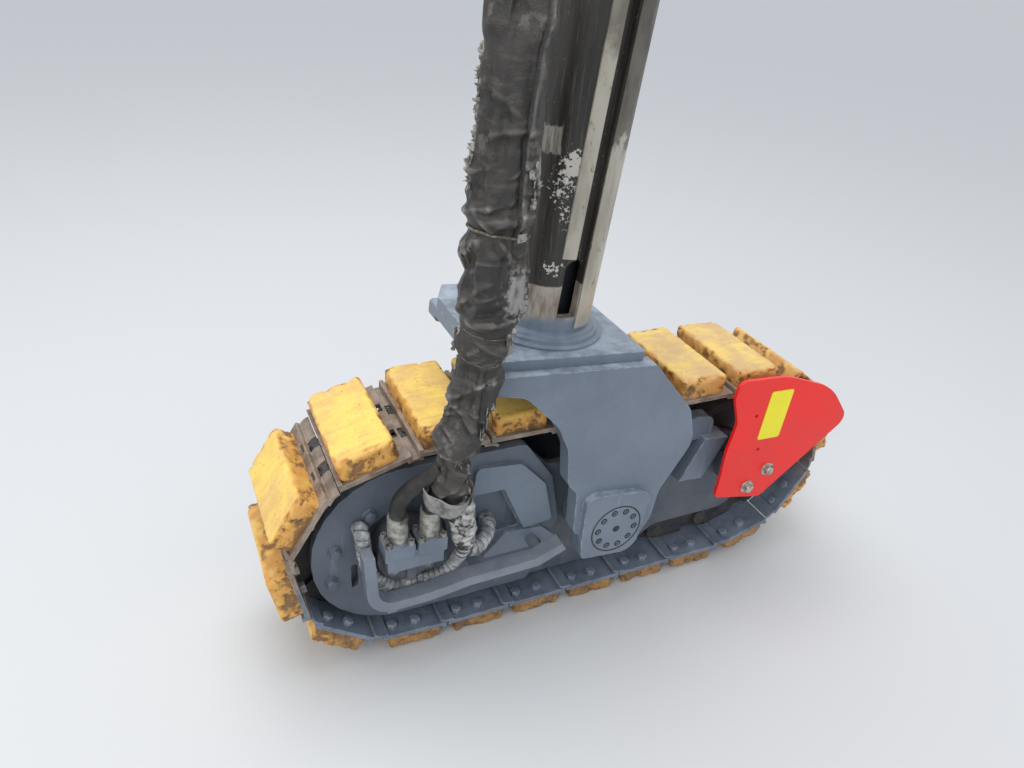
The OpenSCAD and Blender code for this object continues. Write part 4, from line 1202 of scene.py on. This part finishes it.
pinCover = {
    "screws": 10, "circle": 0.044, "radius": 0.0044, "height": 0.0060, "sunk": 0.0050,
    "hollow": (0.0078, 0.0074), "middle": (0.0085, 0.0080), "hollowHigh": 0.0018, "hollowSunk": 0.0006,
    "rim": 0.0590, "rimInner": 0.955, "rimSunk": 0.0006, "rimHigh": 0.0012,
}


def pinPoint(side, turn, radius, sunk):  # on an end cover of the swing pin, with its axis outwards
    at = onYoke(radius * math.cos(turn), side * (yoke["pinFace"] - sunk), radius * math.sin(turn))
    return place(at, (0, side, 0))


pinTurns = [math.radians(360 / pinCover["screws"] * k) for k in range(pinCover["screws"])]
bm = bmesh.new()
for side in (-1, 1):
    for turn in pinTurns:  # in the holes of the end cover
        at = pinPoint(side, turn, pinCover["circle"], pinCover["sunk"])
        addSocket(bm, at, pinCover["radius"], pinCover["height"])
finishPiece("pinScrews", bm, materials["coverPaint"], "column", "steel_blue")

bm = bmesh.new()
for side in (-1, 1):  # the dark joint round the cover
    middle = pinPoint(side, 0, 0, pinCover["rimSunk"])
    rim = bmesh.ops.create_circle(bm, segments=96, radius=pinCover["rim"], matrix=middle)["verts"]
    loop = {e for v in rim for e in v.link_edges}
    inner = bmesh.ops.extrude_edge_only(bm, edges=list(loop))["geom"]
    centre = middle.translation
    for v in (g for g in inner if isinstance(g, bmesh.types.BMVert)):
        v.co = centre + (v.co - centre) * pinCover["rimInner"]
    upper = [f for f in bm.faces if f.calc_center_median().y * side > 0]
    raised = bmesh.ops.extrude_face_region(bm, geom=upper)["geom"]
    bmesh.ops.translate(bm, verts=[g for g in raised if isinstance(g, bmesh.types.BMVert)],
                        vec=(0, side * pinCover["rimHigh"], 0))
for side in (-1, 1):  # painted shade: dark discs round the screws and in the middle stand for the shaded hollows there
    shadedHollowDiscs = [(turn, pinCover["circle"], pinCover["hollow"]) for turn in pinTurns]
    high = pinCover["hollowHigh"]
    for turn, radius, (foot, top) in shadedHollowDiscs + [(0, 0, pinCover["middle"])]:
        at = pinPoint(side, turn, radius, pinCover["hollowSunk"])
        addDisc(bm, at, foot, high, top=top, level=-high / 2)
finishPiece("pinRims", bm, materials["pinDark"], "column", "grease_black")

bosses = {"hex": (-0.141, -0.101, 0.190), "across": 0.016, "height": 0.009,
          "round": (-0.261, -0.0785, 0.2695), "radii": (0.0135, 0.0125), "high": 0.007,
          "border": 0.0065, "hollow": 0.005}
bm = bmesh.new()
addHex(bm, place(bosses["hex"], (0, -1, 0)), bosses["across"], bosses["height"])
foot, top = bosses["radii"]
ring = addDisc(bm, place(bosses["round"], (0, -1, 0)), foot, bosses["high"], 32, top=top)
cap = min((f for v in ring for f in v.link_faces if len(f.verts) > 4), key=lambda f: f.calc_center_median().y)
sinkFace(bm, cap, bosses["border"], (0, bosses["hollow"], 0))
finishPiece("coverBosses", bm, materials["framePaint"], "track", "frame_grey")

sign = {"centre": (0.3715, 0.4555), "wide": 0.061, "high": 0.122, "tilt": -2.5,
        "face": -0.168, "thick": 0.0014, "corner": 0.006}
bm = bmesh.new()
turn = place((sign["centre"][0], sign["face"] - sign["thick"] / 2, sign["centre"][1]), (0, -1, 0)) \
    @ Matrix.Rotation(math.radians(sign["tilt"]), 4, "Z")
addBox(bm, turn, (sign["wide"], sign["high"], sign["thick"]))
upright = [e for e in bm.edges if abs(e.verts[0].co.y - e.verts[1].co.y) > sign["thick"] / 2]
bevelEdges(bm, upright, sign["corner"], 5)
finishPiece("blankPlate", bm, materials["signPaint"], "track", "pad_yellow")

shoeBolts = {"across": 0.019, "height": 0.011, "rows": (-0.101, 0.101), "pairs": (-0.045, 0.005)}
bm = bmesh.new()
for linkFrame in linkFrames():
    for y in shoeBolts["rows"]:
        for x in shoeBolts["pairs"]:
            at = linkFrame @ place((x, y, track["linkOut"]), (0, 0, -1))
            addHex(bm, at, shoeBolts["across"], shoeBolts["height"])
finishPiece("shoeBolts", bm, materials["wornShoe"], "track", "worn_steel")

makeBolts("guardBolts")
print("fasteners made")

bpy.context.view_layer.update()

studio = {"floorSize": 60, "floorColour": (0.62, 0.62, 0.61, 1), "floorRoughness": 0.85}
bm = bmesh.new()
bmesh.ops.create_grid(bm, x_segments=1, y_segments=1, size=studio["floorSize"])
studioFloor = addObject("studioFloor", meshOf(bm, "studioFloor"))
floorPaint, shader = newMaterial("floorPaint")
shader.inputs["Base Color"].default_value = studio["floorColour"]
shader.inputs["Roughness"].default_value = studio["floorRoughness"]
studioFloor.data.materials.append(floorPaint)
